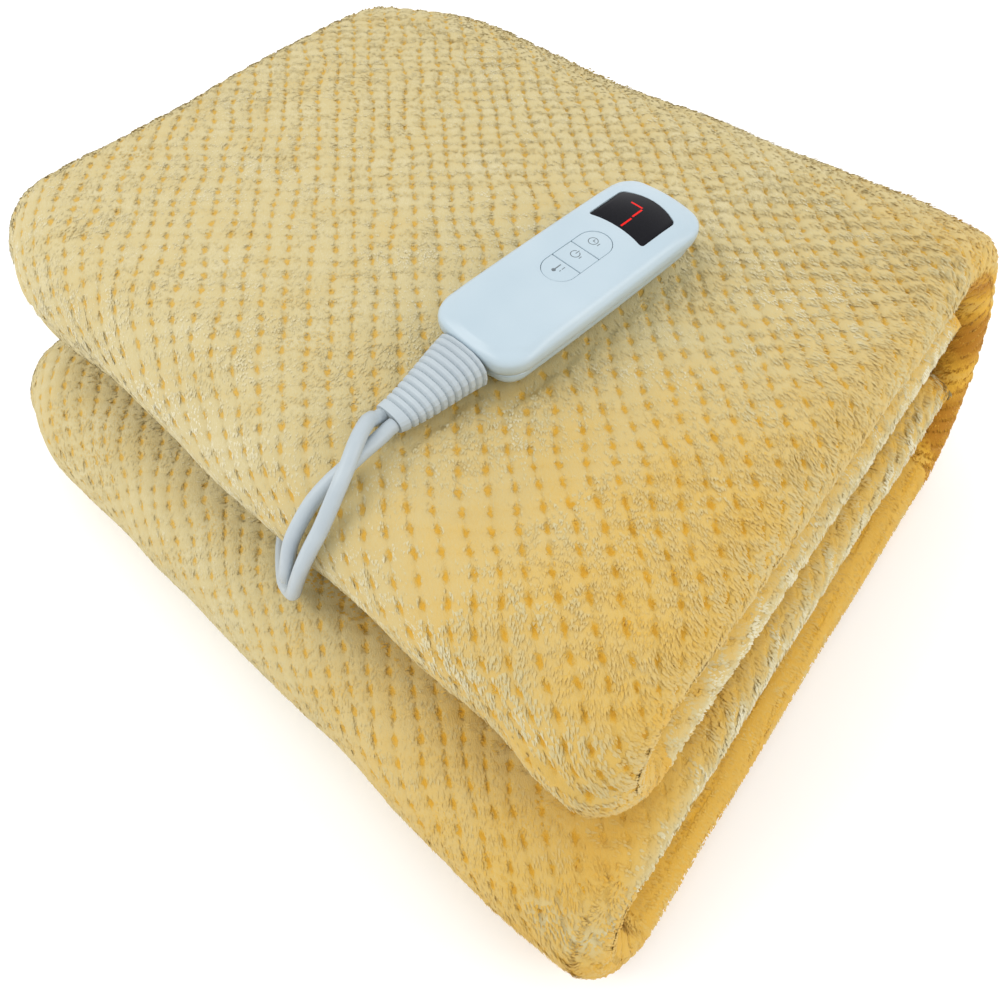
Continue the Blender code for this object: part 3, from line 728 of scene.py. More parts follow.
def painted_shade_in_the_wrap(tree, place):
    """Painted shade in the hollow inside the wrap: 1 towards its near end, fading out; it turns the
    pile deep amber.
    """
    x = maths(tree, "SUBTRACT", place["X"], WRAP_HOLLOW[0])
    z = maths(tree, "SUBTRACT", place["Z"], WRAP_HOLLOW[1])
    span = maths(tree, "MULTIPLY_ADD", x, x, maths(tree, "MULTIPLY", z, z))
    hollow = fade(tree, span, 0.062**2, 0.054**2)
    hollow = maths(tree, "MULTIPLY", hollow, fade(tree, place["X"], 0.118, 0.140))
    return maths(tree, "MULTIPLY", hollow, fade(tree, place["Y"], 0.08, -0.08))


def plush_ground():
    """Short dense pile: pale straw, amber in each pit, fine fibre; painted sheen pales it towards the
    back and along each rim, painted shade deepens it at the open ends and in the wrap's hollow.
    """
    look = {**PLUSH_SHEEN, "Roughness": 0.95, "Specular IOR Level": 0.05}
    finish, tree = new_finish("plush_ground", look)
    spot = add_node(tree, "TexCoord")["Object"]
    place = add_node(tree, "SeparateXYZ", {"Vector": spot})
    waves, dot = pit_waves(tree, spot)
    apart = maths(tree, "ABSOLUTE", maths(tree, "SUBTRACT", waves[1], waves[0]))
    knob = maths(tree, "POWER", maths(tree, "MULTIPLY", apart, 0.5), 0.45)
    cloud = add_node(tree, "TexNoise", {"Vector": spot, "Scale": 45.0, "Detail": 3.0})["Fac"]
    fibre = brushed_fibre(tree, spot)
    # painted sheen: the pile grows paler from the open ends towards the back, where it is seen edge-on
    tone = maths(tree, "MULTIPLY_ADD", cloud, 0.20, fade(tree, place["Y"], -0.205, 0.02, 0.46, 0.70))
    tone = maths(tree, "MULTIPLY_ADD", fibre, 0.24, tone)
    tone = maths(tree, "MULTIPLY_ADD", knob, 0.03, tone)
    tone = maths(tree, "SUBTRACT", tone, 0.22)
    # painted shade: the pile darkens in the hollow inside the wrap
    tone = maths(tree, "MULTIPLY_ADD", painted_shade_in_the_wrap(tree, place), -0.40, tone)
    # painted sheen: the front of the top right pales sooner
    right = fade(tree, place["X"], -0.09, 0.0)
    right = maths(tree, "MULTIPLY", right, fade(tree, place["Y"], 0.0, -0.10))
    right = maths(tree, "MULTIPLY", right, fade(tree, place["Y"], -0.205, -0.165))
    tone = maths(tree, "MULTIPLY_ADD", right, 0.12, tone)
    # painted sheen: whitish bands along the rounded rim of the near ends
    painted_sheen_rims = 0.0
    for height in SHEEN_RIM_HEIGHTS:
        off = maths(tree, "ABSOLUTE", maths(tree, "SUBTRACT", place["Z"], height))
        rim = maths(tree, "SUBTRACT", 1.0, maths(tree, "MULTIPLY", off, 1 / SHEEN_RIM_REACH))
        painted_sheen_rims = maths(tree, "MAXIMUM", rim, painted_sheen_rims)
    # painted shade: the near end faces under the top layer darkened to amber, save the painted sheen
    # bands
    under_top = maths(tree, "LESS_THAN", place["Z"], UNDER_THE_TOP_LAYER)
    end_share = maths(tree, "MULTIPLY", fade(tree, place["Y"], -0.172, -0.190), under_top)
    tone = maths(tree, "MULTIPLY_ADD", end_share, maths(tree, "MULTIPLY_ADD", painted_sheen_rims, 0.42, -0.14), tone)
    dark = maths(tree, "MULTIPLY_ADD", end_share, 0.24, -0.30)
    tone = maths(tree, "MULTIPLY_ADD", dot, dark, tone)
    feed(tree, "Base Color", colour_steps(tree, tone, DYE_SHADE_AND_SHEEN_STEPS))
    relief = maths(tree, "MULTIPLY_ADD", knob, 0.3, maths(tree, "MULTIPLY", fibre, 0.55))
    relief = maths(tree, "MULTIPLY_ADD", dot, -0.9, relief)
    raise_surface(tree, relief, 0.55, 0.0010)
    return finish


ground = build_ground()
ground.data.materials.append(plush_ground())
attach(ground, "body")
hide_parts("blanket")

# ------------------------------------------------------------------ pile
# The nap of the plush: short soft polyester locks, pale at their tips and deep at their roots,
# brushed one way and lying almost flat, and hanging down at the near ends. They grow from the
# ground cloth wherever it can be seen.

TUFT_PIECES = 4
TUFTS_A_PIECE = 47500
TUFT_LONG = 0.0036
TUFT_WIDE = 0.0010
TUFT_LEAN_DEGREES = 79
SHARE_BARE_OVER_A_PIT = 0.80
SPARE_TUFTS = 8000
ROW_LENGTH = 0.41
ROUND_END = LAYER * math.pi / 4
SLOPE_STEP = 0.0006
NAP_LEFT = math.radians(218)
NAP_RIGHT = math.radians(242)
COMBED_DOWN = ((1, 2, 3, 4, 5, 6), (90, 270, 270, 450, 450, 630))
PILE_STRIPS = (
    # from a, to a, metres across, from b, to b, on the outer side, closeness
    (0.82, 1.0, 0.048, -1.0, 2.0, 1, 0.7),
    (1.0, 2.0, 0.1155, -1.0, 2.0, 1, 1.25),
    (2.0, 3.0, 0.263, -1.0, 2.0, 1, 1.3),
    (3.0, 4.0, 0.2474, -1.0, 2.0, 1, 0.55),
    (4.0, 4.15, 0.04, -1.0, 2.0, 1, 0.3),
    (4.85, 5.0, 0.04, -1.0, 2.0, 1, 0.4),
    (5.0, 6.0, 0.1155, -1.0, 2.0, 1, 1.2),
    (6.0, 6.18, 0.048, -1.0, 2.0, 1, 0.7),
    (0.0, 0.82, 0.22, -1.0, 0.0, 1, 2.0),
    (2.0, 3.0, 0.263, -1.0, 0.0, 1, 0.8),
    (4.15, 4.85, 0.22, -1.0, 0.0, 1, 1.6),
    (6.18, 7.0, 0.24, -1.0, 0.02, 1, 2.0),
    (-0.94, 0.0, 0.025, -1.0, 0.3, 1, 1.5),
    (-0.94, 0.0, 0.025, -1.0, 0.3, 0, 1.5),
    (7.0, 7.94, 0.025, -1.0, 0.3, 1, 1.5),
    (7.0, 7.94, 0.025, -1.0, 0.3, 0, 1.5),
    (0.0, 7.0, 1.34, -1.0, 0.02, 0, 1.7),
    (0.0, 7.0, 1.34, 0.98, 2.0, 0, 0.20),
)


def metres_along(b):
    """How far along the cloth a row is, its ends being rounded over half a layer."""
    far = ROW_LENGTH + (b - 1) * ROUND_END
    return np.where(b < 0, b * ROUND_END, np.where(b > 1, far, b * ROW_LENGTH))


def scatter(count, seed):
    """Root places: section and row coordinates and side, even over each strip of cloth."""
    rng = np.random.default_rng(seed)
    strips = np.array(PILE_STRIPS)
    low, high = metres_along(strips[:, 3]), metres_along(strips[:, 4])
    weights = strips[:, 2] * (high - low) * strips[:, 6]
    picked = rng.choice(len(strips), count, p=weights / weights.sum())
    a = strips[picked, 0] + (strips[picked, 1] - strips[picked, 0]) * rng.random(count)
    along = low[picked] + (high - low)[picked] * rng.random(count)
    far = 1 + (along - ROW_LENGTH) / ROUND_END
    b = np.where(along > ROW_LENGTH, far, along / ROW_LENGTH)
    b = np.where(along < 0, along / ROUND_END, b)
    return a, b, strips[picked, 5] > 0.5


def tone_with_painted_light(a, b, place, outer):
    """How pale the pile is there: straw on top, paler towards the back and whitish along each rim as
    painted sheen, amber in the folds, the wrap and the near ends as painted shade.
    """
    # painted sheen: paler from the open ends towards the back, where the pile is seen edge-on, and
    # sooner at the right
    reach = 0.19 - 0.10 * eased((place[:, 0] + 0.09) / 0.09)
    tone = 0.49 + 0.23 * eased((place[:, 1] + 0.215) / reach)
    edge = np.clip(np.maximum(np.maximum(-b, b - 1), np.maximum(-a, a - 7)), 0.0, 1.0)
    near = b < 0.5
    # 0 to 3 are the layers A to D, 5 the upper fold, 6 the wrap and 7 the lower fold
    layer = np.select([a < k for k in (1, 2, 3, 4, 5, 6)], [1, 5, 0, 6, 3, 7], 2)
    scallop = 0.5 + 0.5 * slow_noise(place[:, 0], place[:, 2], 41, 0.014)
    tucked = (layer == 1) | (layer == 2)
    upper = np.where(layer == 1, ~outer, outer)
    under = np.where(upper, edge - 1.0, 1.0 - edge)
    rim = np.exp(-(((under + 0.18 - 0.30 * (scallop - 0.5)) / 0.46) ** 2))
    # painted shade: the near ends of B and C are amber, with a whitish painted sheen band along their
    # rounded rim
    tone = np.where(tucked & near, 0.42 + 0.40 * rim, tone)
    # painted shade: the near end of D deeper still, with a fainter painted sheen band
    tone = np.where((layer == 3) & near, 0.38 + 0.16 * scallop * rim, tone)
    # painted sheen on the rounded near end of A
    tone = np.where((layer == 0) & near & (edge > 0), tone + 0.07 * rim, tone)
    turn = np.clip(a - 1.0, 0.0, 1.0)
    # painted sheen along the upper fold's outer curve, and painted shade on its underside
    fold_sheen_rim = np.exp(-(((turn - 0.62) / 0.16) ** 2))
    tone = np.where(layer == 5, tone + 0.13 * fold_sheen_rim - 0.10 * eased((0.45 - turn) / 0.4), tone)
    # painted shade: the lower fold darker, most towards its foot
    tone = np.where(layer == 7, tone - 0.06 - 0.04 * eased((0.5 - (a - 5.0)) / 0.4), tone)
    # painted shade: the wrap darker towards its near end
    tone = np.where((layer == 6) & near, tone - 0.10 * eased((-place[:, 1] - 0.02) / 0.15), tone)
    # painted shade: the inside of the wrap darker still
    return np.where(~outer & ~tucked, tone - 0.32 * (layer == 6), tone)


def grow_pile(name, a, b, outer, seed):
    rng = np.random.default_rng(seed)
    place, normal, s, y = (
        np.where(outer if within.ndim == 1 else outer[:, None], without, within)
        for within, without in zip(cloth(a, b, False), cloth(a, b, True), strict=True)
    )
    i, j = lattice(s, y)
    pit = pit_share(i, j)
    keep = (rng.random(len(a)) > SHARE_BARE_OVER_A_PIT * pit) & ~in_bed(place, -0.006)
    kept = (values[keep] for values in (a, b, outer, place, normal, s, y, i, j, pit))
    a, b, outer, place, normal, s, y, i, j, pit = kept
    count = len(a)
    across = cloth(a + 0.002, b, True)[0] - cloth(a - 0.002, b, True)[0]
    across = unit(across - np.sum(across * normal, -1, keepdims=True) * normal)
    along = unit(np.cross(normal, across))
    right = eased((place[:, 0] + 0.12) / 0.24)
    tousled = eased((-place[:, 1] - 0.04) / 0.14) * (0.30 + 0.70 * knobbed(place))
    nap = NAP_LEFT + (NAP_RIGHT - NAP_LEFT) * right
    near_end = eased(-b / 0.6)
    tucked = (a < 1.0) | (a > 6.0) | ((a > 4.0) & (a < 5.0))
    hanging = np.radians(np.interp(a, COMBED_DOWN[0], COMBED_DOWN[1]) + 12)
    nap = nap + (hanging - nap) * np.where(tucked, 1.0, near_end)
    nap = nap + 0.22 * slow_noise(s, y, 21, 0.10) + 0.10 * slow_noise(s, y, 22, 0.03)
    nap = nap + rng.normal(0, 0.14, count)
    lie = np.cos(nap)[:, None] * across + np.sin(nap)[:, None] * along
    calm = np.maximum(np.where(tucked, 1.0, near_end), eased((a - 2.9) / 0.3) * (a < 4.0))
    lean = TUFT_LEAN_DEGREES - 8 * tousled * (1 - calm) - 6 * calm + 1.5 * slow_noise(s, y, 23, 0.02)
    lean = np.radians(lean + rng.normal(0, 2.0, count))
    way = unit(np.sin(lean)[:, None] * lie + np.cos(lean)[:, None] * normal)
    long = TUFT_LONG * (0.74 + 0.36 * tousled * (1 - calm)) * rng.uniform(0.75, 1.2, count)
    reach = long * np.sin(lean)
    covered = pit_share(*lattice(s + reach * np.cos(nap), y + reach * np.sin(nap)))
    long = long * (1 - 0.40 * np.maximum(pit, covered))
    wide = TUFT_WIDE * (1.12 - 0.20 * tousled) * rng.uniform(0.7, 1.3, count)
    lift = np.where(outer, ground_height(place, i, j), -0.0010)
    root = place + normal * (lift - 0.00035 + 0.00015 * calm)[:, None]
    skin = normal
    for ds, dy, line in ((SLOPE_STEP, 0.0, across), (0.0, SLOPE_STEP, along)):
        there = ground_height(place, *lattice(s + ds, y + dy))
        back = ground_height(place, *lattice(s - ds, y - dy))
        skin = skin - np.clip((there - back) / (2 * SLOPE_STEP), -0.4, 0.4)[:, None] * line
    skin = unit(skin)
    flank = unit(np.cross(way, normal))
    ridge = np.cross(flank, way)
    long, wide = long[:, None], wide[:, None]
    belly = root + way * long * 0.42 + ridge * wide * 0.1
    side = flank * wide / 2
    corners = np.stack([root, belly + side, belly - side, root + way * long], 1)
    soft = np.stack([skin, skin + flank * 0.15, skin - flank * 0.15, skin + way * 0.1], 1)
    soft = unit(soft)
    strength = np.clip(0.62 + 0.45 * slow_noise(s, y, 33, 0.018), 0.15, 1.1)
    # the pile's tone there, with its painted shade and painted sheen
    tone = tone_with_painted_light(a, b, place, outer) + 0.035 * slow_noise(s, y, 31, 0.022)
    tone = tone + rng.normal(0, 0.028, count)
    tone = tone + 0.025 * slow_noise(place[:, 0], place[:, 1], 35, 0.09)
    strength = np.where((np.abs(b - 0.5) > 0.5) & (b < 0.5), 0.35 * strength, strength)
    tone = np.clip(tone - strength * (0.34 * pit + 0.16 * covered), 0.02, 0.98)
    clear = np.flatnonzero(corners[..., 2].min(1) > 0.0002)[:TUFTS_A_PIECE]
    corners, soft, tone = corners[clear], soft[clear], tone[clear]
    count = len(clear)
    k = 4 * np.arange(count)[:, None]
    faces = np.concatenate([k + [0, 1, 2], k + [3, 2, 1], k + [0, 3, 1], k + [0, 2, 3]], 1)
    mesh = bpy.data.meshes.new(name)
    mesh.from_pydata(corners.reshape(-1, 3).tolist(), [], faces.reshape(-1, 3).tolist())
    uv = np.stack(
        [
            np.repeat(tone[:, None], 4, 1) + np.array([0.0, 0.004, -0.004, 0.0]),
            np.tile([0.02, 0.45, 0.45, 0.98], (count, 1)),
        ],
        -1,
    ).reshape(-1, 2)
    made = show_mapped(mesh, uv)
    below = np.repeat(unit(0.7 * lie - 0.5 * ridge)[clear][:, None], 6, 1)
    directions = np.concatenate([soft[:, [0, 1, 2, 3, 2, 1]], below], 1)
    mesh.normals_split_custom_set(directions.reshape(-1, 3).tolist())
    return made


def plush_pile():
    """Tuft colour by its own map: across it the tone there, the dye with painted shade and painted
    sheen, along it from root to tip.
    """
    look = {**PLUSH_SHEEN, "Roughness": 0.85, "Specular IOR Level": 0.05}
    finish, tree = new_finish("plush_pile", look)
    flat = add_node(tree, "UVMap", uv_map="OFBake")["UV"]
    parts = add_node(tree, "SeparateXYZ", {"Vector": flat})
    tone = maths(tree, "MULTIPLY_ADD", parts["Y"], 0.12, parts["X"])
    tone = maths(tree, "SUBTRACT", tone, 0.05)
    feed(tree, "Base Color", colour_steps(tree, tone, DYE_SHADE_AND_SHEEN_STEPS))
    return finish


nap = plush_pile()
for number in range(TUFT_PIECES):
    roots = scatter(TUFTS_A_PIECE + SPARE_TUFTS, 100 + number)
    tufts = grow_pile(f"pile_{number + 1}", *roots, 200 + number)
    tufts.data.materials.append(nap)
    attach(tufts, "body")

# ------------------------------------------------------------------ handset
# The hand control: two smooth moulded halves in pale blue-white plastic that meet at a fine groove,
# with a black glossy window and three keys let into the crowned top. It lies in the pile.

HANDSET_LENGTH = 0.123
HANDSET_WIDTH = 0.047
HANDSET_CORNER = 0.0085
CROWN = 0.0022
WINDOW_ENDS = (0.0234, 0.0450)
WINDOW_BED_FLOOR = 0.0198
KEY_BED_ENDS = (-0.0170, 0.0185)
KEY_BED_FLOOR = 0.0189
KEY_BED_HALF_WIDTH = 0.0077
ABOVE_THE_TOP = 0.0300
END_BULGE = 0.0042
SIDE_BULGE = 0.0008
ON_THE_CLOTH = (
    Matrix.Translation((*HANDSET_PLACE, HEIGHT + 0.0003))
    @ Euler((HANDSET_LEAN, -HANDSET_PITCH, HANDSET_TURN)).to_matrix().to_4x4()
)
KIND_OF_PART = {"VERT": "verts", "EDGE": "edges", "FACE": "faces"}


def begin_box(name, low, high):
    """A box between two corners, open in edit mode."""
    bpy.ops.object.select_all(action="DESELECT")
    low, high = Vector(low), Vector(high)
    bpy.ops.mesh.primitive_cube_add(size=1.0, location=(low + high) / 2, scale=high - low)
    bpy.ops.object.transform_apply(location=True, rotation=True, scale=True)
    piece = bpy.context.object
    piece.name = piece.data.name = name
    bpy.ops.object.mode_set(mode="EDIT")
    return piece


def pick(kind, test):
    """Select the vertices, edges or faces of the open piece that pass a test on their middle."""
    shape = bmesh.from_edit_mesh(bpy.context.object.data)
    bpy.ops.mesh.select_mode(type=kind)
    bpy.ops.mesh.select_all(action="DESELECT")
    for part in getattr(shape, KIND_OF_PART[kind]):
        spots = [part.co] if kind == "VERT" else [v.co for v in part.verts]
        middle = sum(spots, Vector()) / len(spots)
        if not part.hide and test(middle, part):
            part.select_set(True)
    bmesh.update_edit_mesh(bpy.context.object.data)


def upright(middle, edge):
    line = edge.verts[1].co - edge.verts[0].co
    return abs(line.z) > 0.9 * line.length


def slice_at(axis, places):
    for place in places:
        bpy.ops.mesh.select_all(action="SELECT")
        spot, face = [0.0, 0.0, 0.0], [0.0, 0.0, 0.0]
        spot[axis], face[axis] = place, 1.0
        bpy.ops.mesh.bisect(plane_co=spot, plane_no=face)


def bow(axis, side, limit, amount_at):
    """Push the vertices beyond a limit outwards, each row across by its own amount."""
    shape = bmesh.from_edit_mesh(bpy.context.object.data)
    other = 1 - axis
    rows = sorted({round(v.co[other], 6) for v in shape.verts if v.co[axis] * side > limit})
    for row in rows:
        pick("VERT", lambda v, _, row=row: v[axis] * side > limit and abs(v[other] - row) < 2e-6)
        push = [0.0, 0.0, 0.0]
        push[axis] = side * amount_at(row)
        bpy.ops.transform.translate(value=push)


def step_in(side, steps):
    """Pull the selected end out again and again, drawing its outline in each time."""
    for inwards, outwards in steps:
        shape = bmesh.from_edit_mesh(bpy.context.object.data)
        chosen = [v.co for v in shape.verts if v.select]
        reach = [max(abs(v[axis]) for v in chosen) for axis in (0, 1)]
        drawn = (1 - inwards / reach[0], 1 - inwards / reach[1], 1.0)
        pull = side * outwards
        bpy.ops.mesh.extrude_region_move(TRANSFORM_OT_translate={"value": (0.0, 0.0, pull)})
        bpy.ops.transform.resize(value=drawn, center_override=(0.0, 0.0, chosen[0].z + pull))


def arc_steps(width, height, count):
    """Steps that turn a flat edge into a quarter round."""
    turns = [math.pi / 2 * k / count for k in range(count + 1)]
    return [
        (width * (math.cos(a) - math.cos(b)), height * (math.sin(b) - math.sin(a)))
        for a, b in zip(turns, turns[1:], strict=False)
    ]


def end_piece(piece, finish, soft_edge=0.0):
    """Close the piece: soften its sharp edges, shade it, give it its finish, lay it on the cloth."""
    bpy.ops.object.mode_set(mode="OBJECT")
    if soft_edge:
        rounding = piece.modifiers.new("rounding", "BEVEL")
        rounding.width, rounding.segments, rounding.limit_method = soft_edge, 2, "ANGLE"
        rounding.angle_limit = math.radians(40)
        bpy.ops.object.modifier_apply(modifier=rounding.name)
    bpy.ops.object.shade_smooth_by_angle(angle=math.radians(32))
    piece.data.materials.clear()
    piece.data.materials.append(finish)
    piece.data.transform(ON_THE_CLOTH)
    piece.select_set(False)
    return piece


def cut_away(piece, cutter):
    bpy.ops.object.mode_set(mode="OBJECT")
    bpy.ops.object.select_all(action="DESELECT")
    bpy.context.view_layer.objects.active = piece
    piece.select_set(True)
    hollow = piece.modifiers.new("hollow", "BOOLEAN")
    hollow.operation, hollow.solver, hollow.object = "DIFFERENCE", "EXACT", cutter
    bpy.ops.object.modifier_apply(modifier=hollow.name)
    bpy.data.objects.remove(cutter)


def handset_half(name, inset, low, high):
    """The handset's plan between two heights, corners rounded and all four sides bowed."""
    half_x = HANDSET_LENGTH / 2 - END_BULGE - inset
    half_y = HANDSET_WIDTH / 2 - SIDE_BULGE - inset
    corner = HANDSET_CORNER - inset
    piece = begin_box(name, (-half_x, -half_y, low), (half_x, half_y, high))
    pick("EDGE", upright)
    bpy.ops.mesh.bevel(offset=corner, segments=8, affect="EDGES")
    slice_at(1, (-0.012, -0.008, -0.004, 0.0, 0.004, 0.008, 0.012))
    slice_at(0, (-0.0505, -0.04, -0.03, -0.02, -0.01, 0.0, 0.01, 0.02, 0.03, 0.04, 0.0505))
    full_x, full_y = half_x + END_BULGE, half_y + SIDE_BULGE
    for side in (-1, 1):
        bow(1, side, half_y - 1e-5, lambda x: SIDE_BULGE * (1 - (x / full_x) ** 2))
        bow(0, side, half_x - corner + 1e-5, lambda y: END_BULGE * (1 - (y / full_y) ** 2))
    return piece


def window_plan(name, inset, low, high):
    """The window's plan: straight sides, and two ends that both bow to the far end."""
    half = 0.0145 - inset
    near, far = WINDOW_ENDS[0] + inset, WINDOW_ENDS[1] - inset
    piece = begin_box(name, (near, -half, low), (far, half, high))
    pick("EDGE", upright)
    bpy.ops.mesh.bevel(offset=0.0018 - inset, segments=4, affect="EDGES")
    slice_at(1, (-0.012, -0.009, -0.006, -0.003, 0.0, 0.003, 0.006, 0.009, 0.012))
    bow(0, 1, 0.0430, lambda y: 0.0040 * (1 - (y / half) ** 2))
    shape = bmesh.from_edit_mesh(piece.data)
    for row in sorted({round(v.co.y, 6) for v in shape.verts}):
        pick("VERT", lambda v, _, row=row: v.x < 0.0300 and abs(v.y - row) < 2e-6)
        bpy.ops.transform.translate(value=(0.0020 * (1 - (row / half) ** 2), 0.0, 0.0))
    return piece


def crown_at(y):
    return CROWN * (1 - (2 * y / HANDSET_WIDTH) ** 2)


def follow_crown(piece, above, drop):
    """Lower each row of the piece's top to the crowned face."""
    shape = bmesh.from_edit_mesh(piece.data)
    for row in sorted({round(v.co.y, 6) for v in shape.verts if v.co.z > above}):
        pick("VERT", lambda v, _, row=row: v.z > above and abs(v.y - row) < 2e-6)
        bpy.ops.transform.translate(value=(0.0, 0.0, crown_at(row) - CROWN - drop))


def key_plan(name, near, far, round_near, round_far, low, high, half):
    piece = begin_box(name, (near, -half, low), (far, half, high))
    for wanted, end in ((round_near, near), (round_far, far)):
        if wanted:
            pick("EDGE", lambda spot, edge, end=end: upright(spot, edge) and abs(spot.x - end) < 1e-5)
            bpy.ops.mesh.bevel(offset=half - 2e-5, segments=14, affect="EDGES")
    return piece


PLASTIC_STEPS = ((0.3, (0.395, 0.492, 0.555)), (0.7, (0.437, 0.530, 0.590)))


def pale_plastic():
    """Moulded ABS, pale blue-white with a soft gloss and the faintest unevenness."""
    look = {"Roughness": 0.34, "Coat Weight": 0.15, "Coat Roughness": 0.2}
    finish, tree = new_finish("pale_plastic", look)
    spot = add_node(tree, "TexCoord")["Object"]
    cloud = add_node(tree, "TexNoise", {"Vector": spot, "Scale": 28.0, "Detail": 2.0})["Fac"]
    feed(tree, "Base Color", colour_steps(tree, cloud, PLASTIC_STEPS))
    fine_grain(tree, spot, 1800.0, 0.03, 0.0002)
    return finish


plastic = pale_plastic()

lower = handset_half("handset_under", 0.0030, 0.0078, 0.0097)
pick("FACE", lambda middle, face: face.normal.z > 0.9)
step_in(1, ((0.0004, 0.0005),))
pick("FACE", lambda middle, face: face.normal.z < -0.9)
step_in(-1, ((0.0005, 0.0016), (0.0010, 0.0017), (0.0010, 0.0014), (0.0012, 0.0011)))
step_in(-1, ((0.0013, 0.0009), (0.0014, 0.0007), (0.0014, 0.0003), (0.0020, 0.0001)))
end_piece(lower, plastic)

upper = handset_half("handset_top", 0.0002, 0.0158, 0.0175)
pick("FACE", lambda middle, face: face.normal.z < -0.9)
step_in(-1, ((0.0003, 0.0016), (0.0007, 0.0017), (0.0010, 0.0014), (0.0008, 0.0006)))
pick("FACE", lambda middle, face: face.normal.z > 0.9)
step_in(1, arc_steps(0.0050, 0.0038, 9))
pick("VERT", lambda v, _: v.z < 0.01755)
bpy.ops.mesh.hide(unselected=False)
pick("VERT", lambda v, _: v.z > 0.0212 and abs(v.y) < 1e-4 and abs(v.x) < 0.0401)
bpy.ops.transform.translate(
    value=(0.0, 0.0, CROWN),
    use_proportional_edit=True,
    proportional_edit_falloff="SPHERE",
    proportional_size=0.0222,
)
bpy.ops.mesh.reveal(select=False)
bpy.ops.object.mode_set(mode="OBJECT")
cut_away(upper, window_plan("window_bed", 0.0, WINDOW_BED_FLOOR, ABOVE_THE_TOP))
bed_ends = (*KEY_BED_ENDS, True, True)
cut_away(upper, key_plan("key_bed", *bed_ends, KEY_BED_FLOOR, ABOVE_THE_TOP, KEY_BED_HALF_WIDTH))
bpy.ops.object.mode_set(mode="EDIT")
end_piece(upper, plastic, soft_edge=0.00022)
for piece, node in ((lower, "handset_lower"), (upper, "handset_upper")):
    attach(piece, "body")
    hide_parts(node)

# ------------------------------------------------------------------ display window
# A sheet of smoked acrylic let into the top, flush with it. One red seven-segment figure shows
# through from the lamps below.

FIGURE_BARS = (
    # middle and half size along the handset and across it
    (0.0417, 0.0033, 0.00042, 0.00300),
    (0.0378, -0.0001, 0.00310, 0.00045),
    (0.0303, -0.0005, 0.00330, 0.00045),
)


def on_the_handset(tree):
    """The handset's own coordinates, in metres, from the object's."""
    spot = add_node(tree, "TexCoord")["Object"]
    place, turn = ON_THE_CLOTH.to_translation(), ON_THE_CLOTH.to_euler()
    inputs = {"Vector": spot, "Location": place, "Rotation": turn}
    back = add_node(tree, "Mapping", inputs, vector_type="TEXTURE")["Vector"]
    parts = add_node(tree, "SeparateXYZ", {"Vector": back})
    return parts["X"], parts["Y"]


def bar_mask(tree, x, y, bar):
    """1 on a square-ended bar, 0 round it."""
    past = []
    for value, middle, half in ((x, bar[0], bar[2]), (y, bar[1], bar[3])):
        off = maths(tree, "ABSOLUTE", maths(tree, "SUBTRACT", value, middle))
        past.append(maths(tree, "SUBTRACT", off, half))
    return maths(tree, "LESS_THAN", maths(tree, "MAXIMUM", *past), 0.0)


def blend(tree, share, under, colour):
    """The colour underneath where the share is 0, and the other colour where it is 1."""
    inputs = {"Factor": share, 6: under, 7: (*colour, 1.0)}
    return add_node(tree, "Mix", inputs, data_type="RGBA")[2]


def smoked_window():
    """Black acrylic with a high gloss, and its lit red figure."""
    look = {"Roughness": 0.12, "Specular IOR Level": 0.10, "Emission Color": (1.0, 0.03, 0.02, 1.0)}
    finish, tree = new_finish("smoked_window", look)
    x, y = on_the_handset(tree)
    lit = 0.0
    for bar in FIGURE_BARS:
        lit = maths(tree, "MAXIMUM", bar_mask(tree, x, y, bar), lit)
    cloud = add_node(tree, "TexNoise", {"Scale": 60.0})["Fac"]
    smoke = colour_steps(tree, cloud, ((0.3, (0.004, 0.004, 0.006)), (0.7, (0.009, 0.009, 0.012))))
    feed(tree, "Base Color", blend(tree, lit, smoke, (0.62, 0.010, 0.008)))
    feed(tree, "Emission Strength", maths(tree, "MULTIPLY", lit, 0.15))
    return finish


window = window_plan("window_pane", 0.0003, 0.0201, 0.0233)
follow_crown(window, 0.0230, 0.0)
end_piece(window, smoked_window(), soft_edge=0.0002)
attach(window, "body")
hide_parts("display_window")

# ------------------------------------------------------------------ keys
# Three keys in one rounded bed, a hair apart, of the handset's own plastic. Each has a small grey
# printed picture: a thermometer, the power sign and a clock.

KEY_INK = (0.10, 0.125, 0.14)
KEY_UNDERSIDE = 0.0198
KEY_TOP = 0.02338
KEY_HALF_WIDTH = 0.00752


def ring_mask(tree, x, y, place, radius, width):
    """1 on a ring, 0 inside and outside it."""
    off_x = maths(tree, "SUBTRACT", x, place[0])
    off_y = maths(tree, "SUBTRACT", y, place[1])
    square = maths(tree, "MULTIPLY_ADD", off_x, off_x, maths(tree, "MULTIPLY", off_y, off_y))
    off = maths(tree, "SUBTRACT", maths(tree, "SQRT", square), radius)
    return maths(tree, "LESS_THAN", maths(tree, "ABSOLUTE", off), width)


def printed_plastic(name, rings, bars, gaps):
    """The handset's plastic with rings and bars of grey ink, and bars where a ring is left open."""
    finish = plastic.copy()
    finish.name = name
    tree = finish.node_tree
    x, y = on_the_handset(tree)
    ink = 0.0
    for ring in rings:
        ink = maths(tree, "MAXIMUM", ring_mask(tree, x, y, *ring), ink)
    for bar in gaps:
        ink = maths(tree, "SUBTRACT", ink, bar_mask(tree, x, y, bar))
    for bar in bars:
        ink = maths(tree, "MAXIMUM", bar_mask(tree, x, y, bar), ink)
    under = tree.nodes["Principled BSDF"].inputs["Base Color"].links[0].from_socket
    feed(tree, "Base Color", blend(tree, maths(tree, "MAXIMUM", ink, 0.0), under, KEY_INK))
    return finish


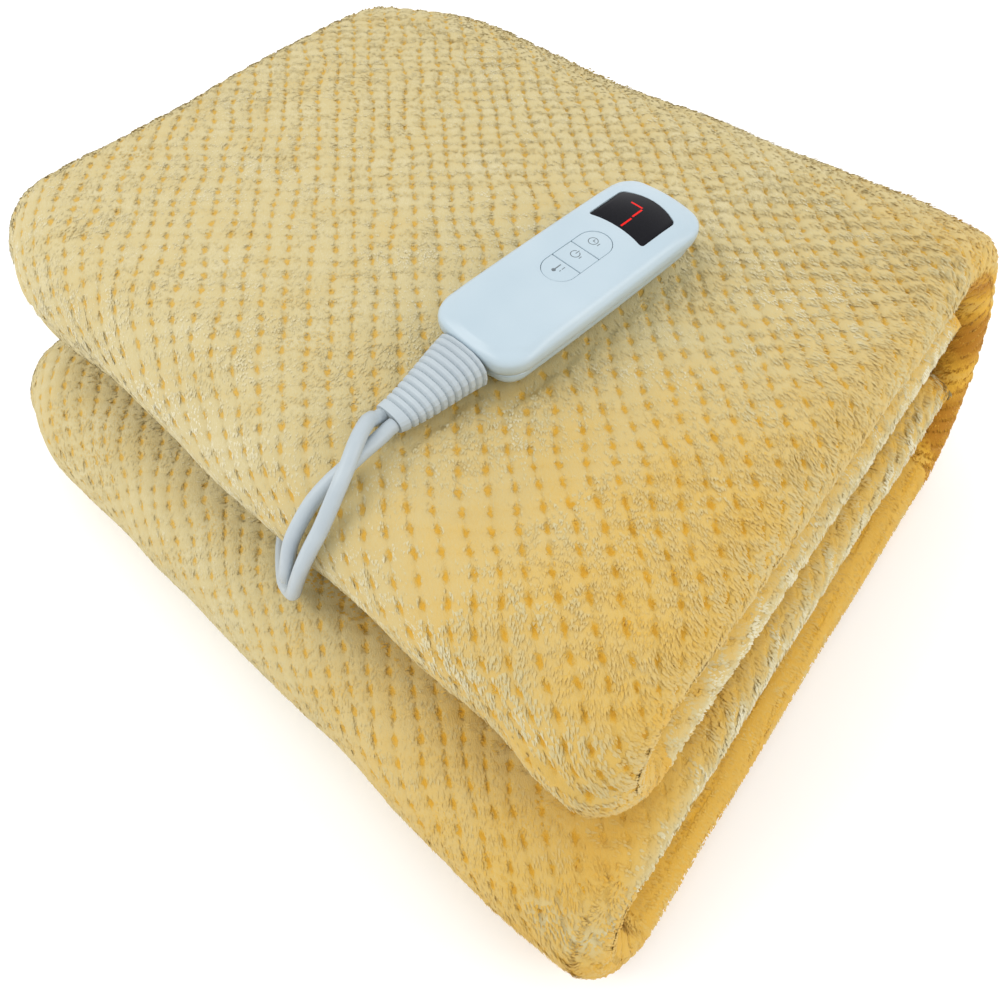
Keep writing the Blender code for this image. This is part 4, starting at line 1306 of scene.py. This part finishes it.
KEYS = (
    # name, near and far ends, which ends are round, rings, bars, gaps in the rings
    (
        "warmth",
        (-0.01682, -0.00578),
        (True, False),
        (((-0.0118, 0.0010), 0.0004, 0.0005),),
        (
            (-0.0095, 0.0010, 0.0019, 0.00028),
            (-0.0085, -0.0012, 0.0009, 0.0002),
            (-0.0105, -0.0012, 0.0004, 0.0002),
        ),
        (),
    ),
    (
        "power",
        (-0.00542, 0.00532),
        (False, False),
        (((0.0010, 0.0012), 0.00190, 0.00020),),
        ((0.0024, 0.0012, 0.00115, 0.00020), (0.0008, -0.0016, 0.0008, 0.0002)),
        ((0.0029, 0.0012, 0.0009, 0.0007),),
    ),
    (
        "timer",
        (0.00568, 0.01832),
        (False, True),
        (((0.0118, 0.0012), 0.00200, 0.00019),),
        (
            (0.0124, 0.0012, 0.0007, 0.0002),
            (0.0118, 0.0007, 0.0002, 0.0006),
            (0.0116, -0.0018, 0.0009, 0.0002),
        ),
        (),
    ),
)
for word, ends, round_ends, *picture in KEYS:
    sizes = (*ends, *round_ends, KEY_UNDERSIDE, KEY_TOP, KEY_HALF_WIDTH)
    key = key_plan(f"{word}_button", *sizes)
    end_piece(key, printed_plastic(f"printed_{word}", *picture), soft_edge=0.0004)
    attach(key, f"{word}_key")
    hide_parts(f"key_{word}")

# ------------------------------------------------------------------ strain relief and plug
# The ribbed boot and the plug are moulded in the leads' own soft grey PVC; the two pins are bright
# plated brass. Their solids already have the right form, so they only get their finish.


def pin_metal():
    """Nickel-plated brass, drawn along its length."""
    finish, tree = new_finish("pin_metal", {"Metallic": 1.0, "Roughness": 0.28})
    spot = add_node(tree, "TexCoord")["Object"]
    drawn = add_node(tree, "Mapping", {"Vector": spot, "Scale": (0.1, 1.0, 1.0)})["Vector"]
    scratch = add_node(tree, "TexNoise", {"Vector": drawn, "Scale": 2600.0})["Fac"]
    steps = ((0.3, (0.62, 0.61, 0.58)), (0.7, (0.74, 0.73, 0.70)))
    feed(tree, "Base Color", colour_steps(tree, scratch, steps))
    return finish


pins = pin_metal()
for node, finish in (
    ("strain_relief", rubber),
    ("plug_body", rubber),
    ("plug_pin_left", pins),
    ("plug_pin_right", pins),
):
    for place in bpy.data.objects[node].material_slots:
        place.link = "OBJECT"
        place.material = finish
